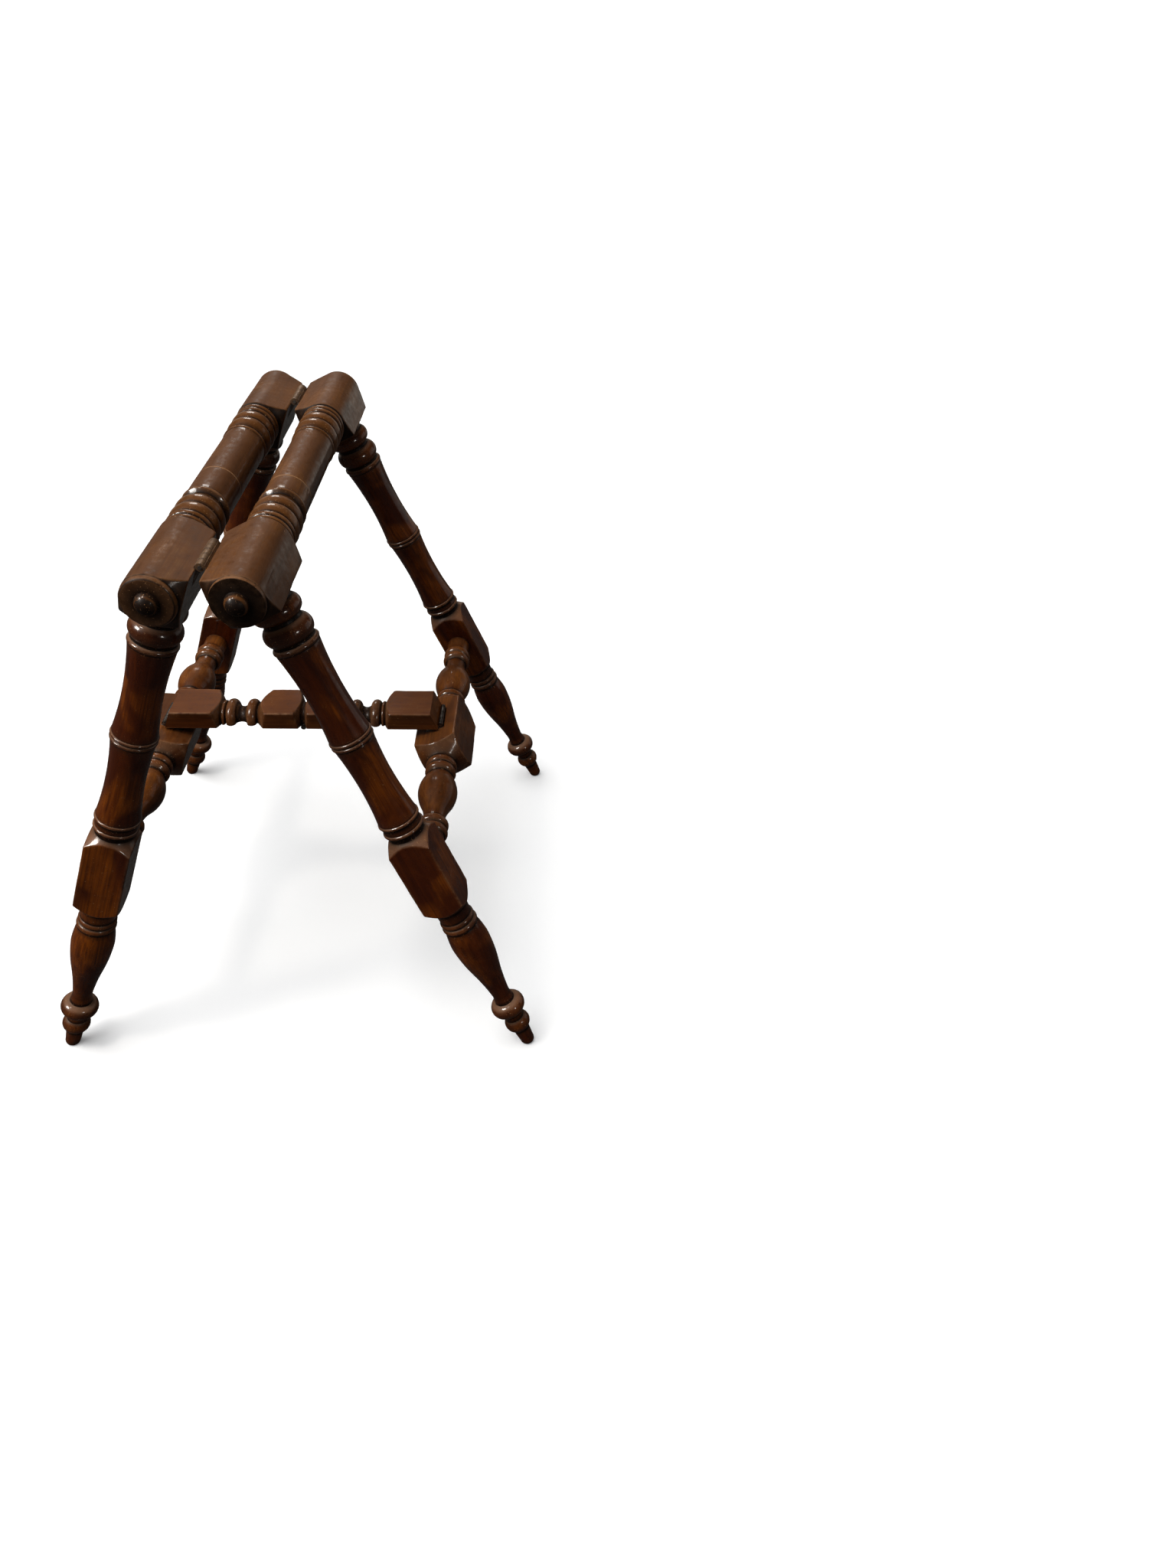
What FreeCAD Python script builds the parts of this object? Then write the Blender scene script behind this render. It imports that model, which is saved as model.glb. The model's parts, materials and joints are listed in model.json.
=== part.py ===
"""Folding turned-wood trestle (sawhorse): two A-frames hinged at the top, held open by a two-part stay.

Axes of the whole trestle: X across it, Y along the two top rails, Z up. The origin is on the floor,
midway between the four feet. Side A is the frame on the -X side and side B the one on the +X side.

Each frame lies in a leaning plane and has its own directions:
    across  the outward and upward normal of that plane
    down    down the plane, at a right angle to the rail
    along   along the rail, the same as +Y
Side B is worked out; side A is the same set of pieces turned half a turn about Z.
All sizes are in millimetres and degrees.
"""
import FreeCAD
import Part
import Sketcher

import math
import os

from FreeCAD import Placement, Rotation, Vector

SIZES = [
    ("frame_tilt", 21.5, "lean of each frame from upright"),
    ("leg_splay", 5.0, "spread of the legs inside the frame's plane"),
    ("rail_height", 600, "rail axis above the floor"),
    ("rail_offset", 37, "rail axis from the middle of the trestle"),
    ("leg_station", 202.4, "where a leg's axis meets the rail's axis, from the middle"),
    ("rail_block", 52, "twice the rail's axis to the inner and lower faces of its square ends"),
    ("rail_round_radius", 24.5, "rounded quarter of the square ends, and the axis to their other faces"),
    ("rail_length", 546, "rail from button to button"),
    ("leg_block", 46, "side of the leg's square block"),
    ("leg_round_diameter", 50, "largest turning of the leg's round stretches"),
    ("leg_tenon_diameter", 22, "round tenon at the top of a leg"),
    ("leg_tenon_reach", 4, "how far that tenon runs past the rail's axis"),
    ("stretcher_drop", 357, "side stretcher axis below the rail axis, down the frame"),
    ("stretcher_block", 53, "side of the stretcher's middle block"),
    ("stretcher_tenon_diameter", 18, "round tenons of the stretcher"),
    ("stretcher_tenon_length", 20, "length of those tenons"),
    ("stay_width", 52, "width of the cross stay along Y"),
    ("stay_thickness", 21.8, "thickness of the cross stay"),
    ("stay_underside", 296, "underside of the cross stay above the floor"),
    ("stay_end", 5.4, "outer end of the stay, across from the stretcher's axis"),
    ("stay_half_gap", 0.25, "half of the gap between the two stay halves"),
    ("joint_fit", 0.05, "radial clearance of tenons, pins and screws"),
    ("scribe_left", -29, "pale line scribed round the left rail"),
    ("scribe_right", -47, "pale line scribed round the right rail"),
    ("top_barrel_radius", 4, "top hinge barrel"),
    ("top_pin_radius", 1.8, "top hinge pin"),
    ("top_hinge_length", 48, "top hinge along Y"),
    ("top_leaf_width", 21, "top hinge leaf from the pin to its edge"),
    ("top_leaf_thickness", 1.7, "top hinge leaf"),
    ("small_hinge_length", 40, "length of the stay hinges along Y"),
    ("small_leaf_width", 21, "stay hinge leaf from the pin to its edge"),
    ("small_leaf_thickness", 1.5, "stay hinge leaf"),
    ("middle_barrel_radius", 3.2, "barrel of the hinge in the middle of the stay"),
    ("middle_pin_drop", 2.2, "pin of that hinge below the stay's underside"),
    ("end_barrel_radius", 2.8, "barrel of the hinges at the stay's ends"),
    ("small_pin_radius", 1.3, "pins of the stay hinges"),
    ("barrel_gap", 0.3, "air between a barrel and the next leaf or the wood"),
    ("screw_radius", 1.4, "wood screw shank"),
    ("screw_head_radius", 2.9, "wood screw head"),
    ("screw_length", 13, "wood screw"),
]

doc = FreeCAD.newDocument("Trestle")
sheet = doc.addObject("Spreadsheet::Sheet", "Sizes")
for row, (alias, value, note) in enumerate(SIZES, start=1):
    sheet.set(f"A{row}", note)
    sheet.set(f"B{row}", str(value))
    sheet.setAlias(f"B{row}", alias)
doc.recompute()


def size(alias):
    return float(sheet.get(alias))


# ---------------------------------------------------------------- directions and fixed places

TILT = math.radians(size("frame_tilt"))
SPLAY = math.radians(size("leg_splay"))
ACROSS = Vector(math.cos(TILT), 0, math.sin(TILT))
DOWN = Vector(math.sin(TILT), 0, -math.cos(TILT))
ALONG = Vector(0, 1, 0)
UP = Vector(0, 0, 1)

RAIL_CENTRE = Vector(size("rail_offset"), 0, size("rail_height"))
STRETCHER_CENTRE = RAIL_CENTRE + DOWN * size("stretcher_drop")
FRAME_TURN = Rotation(ACROSS, DOWN, ALONG, "ZXY")
HALF_TURN = Placement(Vector(0, 0, 0), Rotation(UP, 180))

RAIL_HALF = size("rail_block") / 2
LEG_HALF = size("leg_block") / 2
STRETCHER_HALF = size("stretcher_block") / 2
FIT = size("joint_fit")
LEG_FLOOR = size("rail_height") / (math.cos(TILT) * math.cos(SPLAY))
LEG_AT_STRETCHER = size("stretcher_drop") / math.cos(SPLAY)
LEG_Y_AT_STRETCHER = size("leg_station") + size("stretcher_drop") * math.tan(SPLAY)

# Pins of the hinges, in the XZ plane of side B.
TOP_CORNER = RAIL_CENTRE - ACROSS * RAIL_HALF - DOWN * RAIL_HALF
TOP_PIN = Vector(0, 0, TOP_CORNER.z)
TOP_PIN_GAP = (TOP_CORNER - TOP_PIN).dot(ACROSS)
MIDDLE_PIN = Vector(0, 0, size("stay_underside") - size("middle_pin_drop"))
END_PIN_GAP = size("end_barrel_radius") + size("barrel_gap")
END_PIN = (STRETCHER_CENTRE + ACROSS * (size("stay_end") + END_PIN_GAP)
           - DOWN * (STRETCHER_HALF + END_PIN_GAP))
TOP_HINGE_STATION = 203

# Which knuckles each leaf has, counted along the pin, and its screws: (along the pin, away from it).
KNUCKLES = {"top": 5, "middle": 3, "end": 3}
TOP_OWN = {"left": (0, 2, 4), "right": (1, 3)}
SMALL_OWN = {"outer": (0, 2), "inner": (1,)}
TOP_SCREWS = [(-17, 15), (0, 13), (17, 15)]
SMALL_SCREWS = [(-13, 13), (13, 13)]
KNUCKLE_GAP = 0.4
PIN_HEAD = 0.8

# How far the plates of the end hinges start beyond (+) or short of (-) the pin.
FRAME_LEAF_LIP = 2.5
STAY_LEAF_LIP = -1.8

# Stretches of a leg that are square and round before turning, measured down from the rail's axis.
LEG_BLOCK_SPAN = (304, 421)
LEG_ROUND_SPANS = {"Upper_round": (19.5, 312), "Lower_round": (413, 649.5)}

# Radius past every blank's corners, where a turning cut ends.
OUTSIDE = 46


# ---------------------------------------------------------------- helpers for turned pieces

def origin_plane(body, role):
    return next(plane for plane in body.Origin.OriginFeatures if plane.Role == role)


def new_body(label):
    body = doc.addObject("PartDesign::Body", label)
    body.Label = label
    return body


def new_sketch(body, name, role, offset=None):
    sketch = body.newObject("Sketcher::SketchObject", f"{body.Label}_{name}")
    sketch.AttachmentSupport = [(origin_plane(body, role), "")]
    sketch.MapMode = "FlatFace"
    if offset is not None:
        sketch.AttachmentOffset = offset
    return sketch


def new_feature(body, kind, name, sketch):
    feature = body.newObject(f"PartDesign::{kind}", f"{body.Label}_{name}")
    feature.Profile = sketch
    sketch.Visibility = False
    return feature


def add_rectangle(sketch, left, right, low, high):
    first = sketch.GeometryCount
    corners = [Vector(left, low, 0), Vector(right, low, 0), Vector(right, high, 0), Vector(left, high, 0)]
    for number in range(4):
        sketch.addGeometry(Part.LineSegment(corners[number], corners[(number + 1) % 4]), False)
    for number in range(4):
        following = first + (number + 1) % 4
        sketch.addConstraint(Sketcher.Constraint("Coincident", first + number, 2, following, 1))
        direction = "Horizontal" if number % 2 == 0 else "Vertical"
        sketch.addConstraint(Sketcher.Constraint(direction, first + number))


def add_square(sketch, alias):
    """A square about the sketch's origin whose side is a cell of the sheet."""
    half = size(alias) / 2
    add_rectangle(sketch, -half, half, -half, half)
    sketch.addConstraint(Sketcher.Constraint("Symmetric", 0, 1, 2, 1, -1, 1))
    for line, name in ((0, "width"), (1, "height")):
        index = sketch.addConstraint(Sketcher.Constraint("Distance", line, 2 * half))
        sketch.renameConstraint(index, name)
        sketch.setExpression(f"Constraints.{name}", f"Sizes.{alias}")


def add_circle(sketch, radius, centre=Vector(0, 0, 0)):
    sketch.addGeometry(Part.Circle(centre, Vector(0, 0, 1), radius), False)


def pad(body, name, sketch, length):
    """Pad along the sketch's normal; length is a number or a formula of sheet cells."""
    feature = new_feature(body, "Pad", name, sketch)
    if isinstance(length, str):
        feature.setExpression("Length", length)
    else:
        feature.Length = length
    return feature


def pocket(body, name, sketch, depth, reverse=False):
    """Pocket against the sketch's normal, or along it when reversed."""
    feature = new_feature(body, "Pocket", name, sketch)
    feature.Length = depth
    feature.Reversed = reverse
    return feature


def bead(start, end, base, crest):
    """A rounded ring from start to end: two corners on the base radius with an arc between them."""
    return [(base, start), (base, end, crest)]


def turned_outline(sketch, path, swap=False):
    """One closed cutting outline: the path, then out to the waste radius and back.

    A path entry is (radius, station) for a straight run or (radius, station, crest) for an arc
    that passes through the crest radius midway. swap puts the lathe axis along the sketch's x.
    """
    def place(radius, station):
        return Vector(station, radius, 0) if swap else Vector(radius, station, 0)

    last = path[0]
    for entry in path[1:]:
        start = place(last[0], last[1])
        end = place(entry[0], entry[1])
        if len(entry) == 3:
            middle = place(entry[2], (last[1] + entry[1]) / 2)
            sketch.addGeometry(Part.Arc(start, middle, end), False)
        elif start.distanceToPoint(end) > 1e-6:
            sketch.addGeometry(Part.LineSegment(start, end), False)
        last = entry
    corners = [place(*last[:2]), place(OUTSIDE, last[1]), place(OUTSIDE, path[0][1]), place(*path[0][:2])]
    for start, end in zip(corners, corners[1:]):
        if start.distanceToPoint(end) > 1e-6:
            sketch.addGeometry(Part.LineSegment(start, end), False)


def turn(body, paths):
    """Turn the blank down to each of the paths, round the body's Z axis."""
    sketch = new_sketch(body, "Profile", "XZ_Plane")
    for path in paths:
        turned_outline(sketch, path)
    groove = new_feature(body, "Groove", "Turning", sketch)
    groove.ReferenceAxis = (sketch, ["V_Axis"])
    groove.Angle = 360
    return groove


def mirrored(path):
    """The same path on the other side of the middle, running the same way along the axis."""
    flipped = []
    for number in range(len(path) - 1, -1, -1):
        crest = path[number + 1][2:] if number + 1 < len(path) else ()
        flipped.append((path[number][0], -path[number][1]) + tuple(crest))
    return flipped


# ---------------------------------------------------------------- top rails

def rail_bead_group():
    """From the plain barrel of the rail out to its square end, as (radius, station) entries."""
    path = bead(78, 82, 22.2, 23.4)
    path += [(19.2, 84.5), (19.2, 90), (20.4, 91.5)]
    path += bead(92, 109, 20.4, 24.1)
    path += bead(110, 127.5, 20.8, 24.3)
    path += bead(130, 136.5, 21.8, 23.8)
    path += bead(139, 145.5, 21.8, 23.8)
    path += [(23.0, 147), (37.5, 158)]
    return path


def rail_button_path(tip):
    """The pommel, rim, dished face and domed button of one end, up to a small flat at the tip."""
    button = 10.8
    path = [(37.5, tip - 27), (23.9, tip - 15), (20.8, tip - 9, 23.9)]
    path += [(button, tip - button, 18.0), (0.8, tip, 0.866 * button)]
    return path


def add_rail_section(sketch):
    """The square of the rail, its outer top quarter rounded about the turning axis."""
    half = RAIL_HALF
    round_radius = size("rail_round_radius")
    middle = round_radius * math.sqrt(0.5)
    corners = [Vector(0, -round_radius, 0), Vector(-half, -round_radius, 0), Vector(-half, half, 0),
               Vector(round_radius, half, 0), Vector(round_radius, 0, 0)]
    for start, end in zip(corners, corners[1:]):
        sketch.addGeometry(Part.LineSegment(start, end), False)
    sketch.addGeometry(Part.Arc(corners[-1], Vector(middle, -middle, 0), corners[0]), False)


def build_rail(label, turn_over, leaf_screws):
    """A turned rail along Z: local X is across the frame and local Y down it."""
    body = new_body(label)
    tip = size("rail_length") / 2
    low = Placement(Vector(0, 0, -tip), Rotation())
    section = new_sketch(body, "Section", "XY_Plane", low)
    add_rail_section(section)
    pad(body, "Blank", section, "Sizes.rail_length")

    group = rail_bead_group()
    scribe = -size("scribe_left") if turn_over else size("scribe_right")
    scribe_half = 0.9
    line = [(22.2, scribe - scribe_half), (21.7, scribe), (22.2, scribe + scribe_half)]
    button = rail_button_path(tip)
    turn(body, [mirrored(group) + line + group, button, mirrored(button)])

    for side in (-1, 1):
        direction = Vector(0, math.cos(SPLAY), side * math.sin(SPLAY))
        start = Vector(0, 0, side * size("leg_station")) + direction * OUTSIDE
        mortise = new_sketch(body, f"Mortise_{side + 2}", "XY_Plane",
                             Placement(start, Rotation(UP, direction)))
        add_circle(mortise, size("leg_tenon_diameter") / 2 + FIT)
        pocket(body, f"Mortise_cut_{side + 2}", mortise, OUTSIDE + size("leg_tenon_reach") + 0.3)

        cut_top_hinge_seat(body, side, leaf_screws)
    return body


def cut_top_hinge_seat(body, side, leaf_screws):
    """Let one top hinge into the rail: a shallow gain for the leaf and a round notch for its barrel."""
    station = side * TOP_HINGE_STATION
    half = size("top_hinge_length") / 2
    pin = TOP_PIN - RAIL_CENTRE
    face = Placement(Vector(0, 0, -RAIL_HALF), Rotation())
    gain = new_sketch(body, f"Gain_{side + 2}", "YZ_Plane", face)
    above_rail = -RAIL_HALF - 2
    leaf_edge = pin.dot(DOWN) + size("top_leaf_width")
    add_rectangle(gain, above_rail, leaf_edge, station - half, station + half)
    pocket(body, f"Gain_cut_{side + 2}", gain, size("top_leaf_thickness"), reverse=True)

    notch_half = half + PIN_HEAD + 0.4
    start = Placement(Vector(0, 0, station + notch_half), Rotation())
    notch = new_sketch(body, f"Notch_{side + 2}", "XY_Plane", start)
    add_circle(notch, size("top_barrel_radius") + size("barrel_gap"),
               Vector(pin.dot(ACROSS), pin.dot(DOWN), 0))
    pocket(body, f"Notch_cut_{side + 2}", notch, 2 * notch_half)

    holes = new_sketch(body, f"Screws_{side + 2}", "YZ_Plane", face)
    for along, away in leaf_screws:
        add_circle(holes, size("screw_radius") + FIT,
                   Vector(pin.dot(DOWN) + away, station + along, 0))
    pocket(body, f"Screws_cut_{side + 2}", holes, size("screw_length") + 0.5, reverse=True)


# ---------------------------------------------------------------- legs

def leg_paths():
    """The two turned stretches of a leg, measured down its axis from the rail's axis."""
    upper = [(19.4, 15), (19.4, 32)]
    upper += bead(33, 47, 21.0, 24.4)
    upper += [(18.6, 48.5), (18.6, 52)]
    upper += bead(53.5, 70, 21.0, 24.6)
    upper += [(20.8, 71), (20.8, 73)]
    upper += bead(73.5, 78.5, 22.0, 23.4)
    upper += [(22.3, 80), (22.0, 181, 18.7)]
    upper += bead(181, 184.4, 22.0, 23.0)
    upper += bead(185.0, 188.4, 21.8, 22.8)
    upper += [(21.8, 189), (22.3, 286.5, 18.7)]
    upper += bead(286.5, 290, 22.3, 23.2)
    upper += [(22.0, 298.5)]
    upper += bead(298.5, 302, 22.0, 22.9)
    upper += [(19.5, 304), (19.5, 308.5), (34.5, 323)]

    lower = [(34.5, 402), (19.0, 417), (18.2, 430)]
    lower += bead(431, 437.5, 18.2, 20.0)
    lower += bead(438.5, 445.5, 18.8, 20.8)
    lower += [(19.4, 446.5), (22.5, 470, 21.5), (16.8, 516, 20.8), (10.5, 560, 12.9)]
    lower += bead(571, 591, 12.0, 20.5)
    lower += [(11.2, 593), (11.2, 600)]
    lower += bead(601.5, 619.5, 11.0, 15.3)
    lower += [(10.0, 621), (8.4, 641), (2.0, 649.5, 7.6)]
    return upper, lower


def build_leg(label, side):
    """A turned leg whose axis is Z, pointing down; local X is across the frame.

    side is 1 for the leg at the +Y end of side B and -1 for the one at the -Y end.
    """
    body = new_body(label)
    down = Vector(0, side * math.sin(SPLAY), math.cos(SPLAY))
    inward = Vector(0, side * math.cos(SPLAY), -math.sin(SPLAY))
    up = Vector(math.sin(TILT), -side * math.cos(TILT) * math.sin(SPLAY),
                -math.cos(TILT) * math.cos(SPLAY))
    block = new_sketch(body, "Block", "XY_Plane", Placement(Vector(0, 0, LEG_BLOCK_SPAN[0]), Rotation()))
    add_square(block, "leg_block")
    pad(body, "Block_pad", block, LEG_BLOCK_SPAN[1] - LEG_BLOCK_SPAN[0])
    for name, (start, end) in LEG_ROUND_SPANS.items():
        round_blank = new_sketch(body, name, "XY_Plane", Placement(Vector(0, 0, start), Rotation()))
        add_circle(round_blank, size("leg_round_diameter") / 2)
        pad(body, f"{name}_pad", round_blank, end - start)
    turn(body, leg_paths())

    shoulder = new_sketch(body, "Shoulder", "XY_Plane",
                          Placement(down * RAIL_HALF, Rotation(UP, down)))
    add_rectangle(shoulder, -OUTSIDE, OUTSIDE, -OUTSIDE, OUTSIDE)
    pocket(body, "Shoulder_cut", shoulder, 30)

    foot = new_sketch(body, "Foot", "XY_Plane", Placement(Vector(0, 0, LEG_FLOOR), Rotation(UP, up)))
    add_rectangle(foot, -OUTSIDE, OUTSIDE, -OUTSIDE, OUTSIDE)
    pocket(body, "Foot_cut", foot, 30)

    tenon_start = -size("leg_tenon_reach")
    tenon = new_sketch(body, "Tenon", "XY_Plane", Placement(Vector(0, 0, tenon_start), Rotation()))
    add_circle(tenon, size("leg_tenon_diameter") / 2)
    pad(body, "Tenon_pad", tenon, 44)

    mouth = Vector(0, 0, LEG_AT_STRETCHER) + inward * OUTSIDE
    mortise = new_sketch(body, "Mortise", "XY_Plane", Placement(mouth, Rotation(UP, inward)))
    add_circle(mortise, size("stretcher_tenon_diameter") / 2 + FIT)
    tenon_depth = size("stretcher_tenon_length") + 0.5
    pocket(body, "Mortise_cut", mortise, OUTSIDE - LEG_HALF + tenon_depth)
    return body


# ---------------------------------------------------------------- side stretchers

def stretcher_path():
    """From the stretcher's middle block out past its shoulder."""
    path = [(38.5, 38), (18.2, 54), (16.2, 56), (16.2, 58.5)]
    path += bead(59, 68, 16.0, 18.6)
    path += bead(70, 79.5, 15.8, 18.4)
    path += [(14.0, 81.5), (14.0, 83.5), (22.8, 112, 20.6), (17.6, 134, 21.4), (12.2, 155, 14.0)]
    path += [(12.2, 161)]
    path += bead(162.5, 173, 13.6, 17.4)
    path += bead(175, 186, 13.6, 17.4)
    path += [(14.0, 188), (14.8, 213)]
    return path


def build_stretcher(label, leaf_screws):
    """A turned stretcher along Z: local X is across the frame and local Y down it."""
    body = new_body(label)
    half = 213
    section = new_sketch(body, "Section", "XY_Plane", Placement(Vector(0, 0, -half), Rotation()))
    add_square(section, "stretcher_block")
    pad(body, "Blank", section, 2 * half)
    path = stretcher_path()
    turn(body, [path, mirrored(path)])

    face_y = LEG_HALF * math.sin(SPLAY)
    face_z = LEG_Y_AT_STRETCHER - LEG_HALF * math.cos(SPLAY)
    for side in (-1, 1):
        inward = Vector(0, math.sin(SPLAY), -side * math.cos(SPLAY))
        shoulder = new_sketch(body, f"Shoulder_{side + 2}", "XY_Plane",
                              Placement(Vector(0, face_y, side * face_z), Rotation(UP, inward)))
        add_rectangle(shoulder, -30, 30, -30, 30)
        pocket(body, f"Shoulder_cut_{side + 2}", shoulder, 20)

    tip = face_z + size("stretcher_tenon_length")
    tenon = new_sketch(body, "Tenon", "XY_Plane", Placement(Vector(0, 0, -tip), Rotation()))
    add_circle(tenon, size("stretcher_tenon_diameter") / 2)
    pad(body, "Tenon_pad", tenon, 2 * tip)

    pin_across = (END_PIN - STRETCHER_CENTRE).dot(ACROSS)
    face = Placement(Vector(0, 0, STRETCHER_HALF), Rotation())
    hinge_half = size("small_hinge_length") / 2
    gain = new_sketch(body, "Gain", "XZ_Plane", face)
    add_rectangle(gain, pin_across - size("small_leaf_width"), pin_across + FRAME_LEAF_LIP,
                  -hinge_half, hinge_half)
    pocket(body, "Gain_cut", gain, size("small_leaf_thickness"))
    holes = new_sketch(body, "Screws", "XZ_Plane", face)
    for along, away in leaf_screws:
        add_circle(holes, size("screw_radius") + FIT, Vector(pin_across - away, along, 0))
    pocket(body, "Screws_cut", holes, size("screw_length") + 0.5)
    return body


# ---------------------------------------------------------------- cross stay

def stay_paths():
    """The three turned stretches of a stay half, measured out from the middle of the trestle."""
    nose = [(17.4, -4), (17.4, 1.6), (35.0, 9)]
    neck = [(35.0, 40.5), (16.6, 54), (15.4, 55)]
    neck += bead(56, 68, 15.4, 21.2)
    neck += [(14.2, 69), (14.2, 79.5, 12.0)]
    neck += bead(80.5, 92.5, 15.4, 21.4)
    neck += bead(93.5, 97.5, 17.4, 19.4)
    neck += [(18.4, 98), (35.0, 106.5)]
    return nose, neck


def build_stay(label, middle_screws, end_screws):
    """Half of the cross stay, a split turning: flat underneath, X outwards, Z up."""
    body = new_body(label)
    start = size("stay_half_gap")
    half_width = size("stay_width") / 2
    section = new_sketch(body, "Section", "YZ_Plane", Placement(Vector(0, 0, start), Rotation()))
    add_rectangle(section, -half_width, half_width, 0, size("stay_thickness"))
    pad(body, "Blank", section, 180)

    sketch = new_sketch(body, "Profile", "XZ_Plane")
    for path in stay_paths():
        turned_outline(sketch, path, swap=True)
    groove = new_feature(body, "Groove", "Turning", sketch)
    groove.ReferenceAxis = (sketch, ["H_Axis"])
    groove.Angle = 360

    corner = (STRETCHER_CENTRE + ACROSS * size("stay_end"))
    corner = corner + DOWN * ((corner.z - size("stay_underside")) / -DOWN.z)
    end = new_sketch(body, "End", "XY_Plane",
                     Placement(Vector(corner.x, 0, 0), Rotation(UP, ACROSS * -1)))
    add_rectangle(end, -60, 60, -60, 60)
    pocket(body, "End_cut", end, 60)

    hinge_half = size("small_hinge_length") / 2
    gains = new_sketch(body, "Gains", "XY_Plane")
    add_rectangle(gains, -1, size("small_leaf_width"), -hinge_half, hinge_half)
    add_rectangle(gains, END_PIN.x - size("small_leaf_width"), END_PIN.x, -hinge_half, hinge_half)
    pocket(body, "Gains_cut", gains, size("small_leaf_thickness"), reverse=True)
    holes = new_sketch(body, "Screws", "XY_Plane")
    for along, away in middle_screws:
        add_circle(holes, size("screw_radius") + FIT, Vector(away, along, 0))
    for along, away in end_screws:
        add_circle(holes, size("screw_radius") + FIT, Vector(END_PIN.x - away, along, 0))
    pocket(body, "Screws_cut", holes, size("screw_length") + 0.5, reverse=True)
    return body


# ---------------------------------------------------------------- hinges and screws
#
# A leaf is made about its own pin: Z along the pin, X from the pin towards the leaf's free edge, and
# Y from the leaf's bared face towards the outside. gap is how far the bared face lies behind the pin.

def primitive(kind, name, placement=None, **cells):
    """A Part primitive whose sizes are formulas of sheet cells or plain numbers."""
    item = doc.addObject(f"Part::{kind}", name)
    for prop, value in cells.items():
        if isinstance(value, str):
            item.setExpression(prop, value)
        else:
            setattr(item, prop, value)
    if placement is not None:
        item.Placement = placement
    return item


def joined(name, items):
    if len(items) == 1:
        return items[0]
    fuse = doc.addObject("Part::MultiFuse", name)
    fuse.Shapes = items
    return fuse


def grouped(label, items):
    """Separate solids that share one node."""
    group = doc.addObject("Part::Compound", label)
    group.Label = label
    group.Links = items
    return group


def knuckle_spans(length, count, gap):
    """The (start, end) of each knuckle along the pin, with a little air between neighbours."""
    pitch = length / count
    spans = []
    for number in range(count):
        low = -length / 2 + number * pitch + (gap / 2 if number else 0)
        high = -length / 2 + (number + 1) * pitch - (gap / 2 if number < count - 1 else 0)
        spans.append((low, high))
    return spans


def build_leaf(label, kind, gap, own, screws, lip=0.0, pin="small_pin_radius"):
    """One hinge leaf: plate, its own knuckles, relief for the other leaf's, and screw holes.

    kind is "top", "middle" or "end"; own says which knuckles belong to this leaf.
    """
    length = size("top_hinge_length" if kind == "top" else "small_hinge_length")
    width = size("top_leaf_width" if kind == "top" else "small_leaf_width")
    thickness = size("top_leaf_thickness" if kind == "top" else "small_leaf_thickness")
    radius = size(f"{kind}_barrel_radius")
    spans = knuckle_spans(length, KNUCKLES[kind], KNUCKLE_GAP)

    plate_start = -lip
    items = [primitive("Box", f"{label}_plate", Placement(Vector(plate_start, -gap - thickness, -length / 2),
                                                        Rotation()),
                       Length=width - plate_start, Width=thickness, Height=length)]
    cuts = []
    for number, (low, high) in enumerate(spans):
        if number in own:
            items.append(primitive("Cylinder", f"{label}_knuckle_{number}",
                                   Placement(Vector(0, 0, low), Rotation()),
                                   Radius=radius, Height=high - low))
            reach = gap + thickness / 2
            if reach > radius:
                web = radius
                items.append(primitive("Box", f"{label}_web_{number}",
                                       Placement(Vector(-web / 2, -reach, low), Rotation()),
                                       Length=web, Width=reach, Height=high - low))
        else:
            low_cut = low - KNUCKLE_GAP
            high_cut = high + KNUCKLE_GAP
            cuts.append(primitive("Cylinder", f"{label}_relief_{number}",
                                  Placement(Vector(0, 0, low_cut), Rotation()),
                                  Radius=radius + size("barrel_gap"), Height=high_cut - low_cut))
    cuts.append(primitive("Cylinder", f"{label}_bore", Placement(Vector(0, 0, -length), Rotation()),
                          Radius=f"Sizes.{pin} + Sizes.joint_fit", Height=2 * length))
    head = Rotation(Vector(1, 0, 0), 90)
    for number, (along, away) in enumerate(screws):
        face = Placement(Vector(away, -gap, along), head)
        cuts.append(primitive("Cone", f"{label}_sink_{number}", face,
                              Radius1=size("screw_head_radius") + FIT, Radius2=size("screw_radius") + FIT,
                              Height=thickness))
    plate = joined(f"{label}_plate_and_knuckles", items)
    waste = joined(f"{label}_waste", cuts)
    leaf = doc.addObject("Part::Cut", label)
    leaf.Label = label
    leaf.Base = plate
    leaf.Tool = waste
    return leaf


def build_screws(label, gap, screws, thickness):
    """The wood screws of one leaf in the leaf's own axes, heads flush with its bared face."""
    into_wood = Rotation(Vector(1, 0, 0), 90)
    items = []
    for number, (along, away) in enumerate(screws):
        face = Placement(Vector(away, -gap, along), into_wood)
        head = primitive("Cone", f"{label}_head_{number}", face, Radius1="Sizes.screw_head_radius",
                         Radius2="Sizes.screw_radius", Height=thickness)
        shank = primitive("Cylinder", f"{label}_shank_{number}", face, Radius="Sizes.screw_radius",
                          Height="Sizes.screw_length")
        screw = joined(f"{label}_screw_{number}", [head, shank])
        slot_width = 0.8
        slot_depth = 0.6
        reach = size("screw_head_radius") + 1
        corner = Vector(away - reach, -gap - slot_depth, along - slot_width / 2)
        slot = primitive("Box", f"{label}_slot_{number}", Placement(corner, Rotation()),
                         Length=2 * reach, Width=slot_depth + 1, Height=slot_width)
        cut = doc.addObject("Part::Cut", f"{label}_cut_{number}")
        cut.Base = screw
        cut.Tool = slot
        items.append(cut)
    return grouped(label, items)


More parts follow.
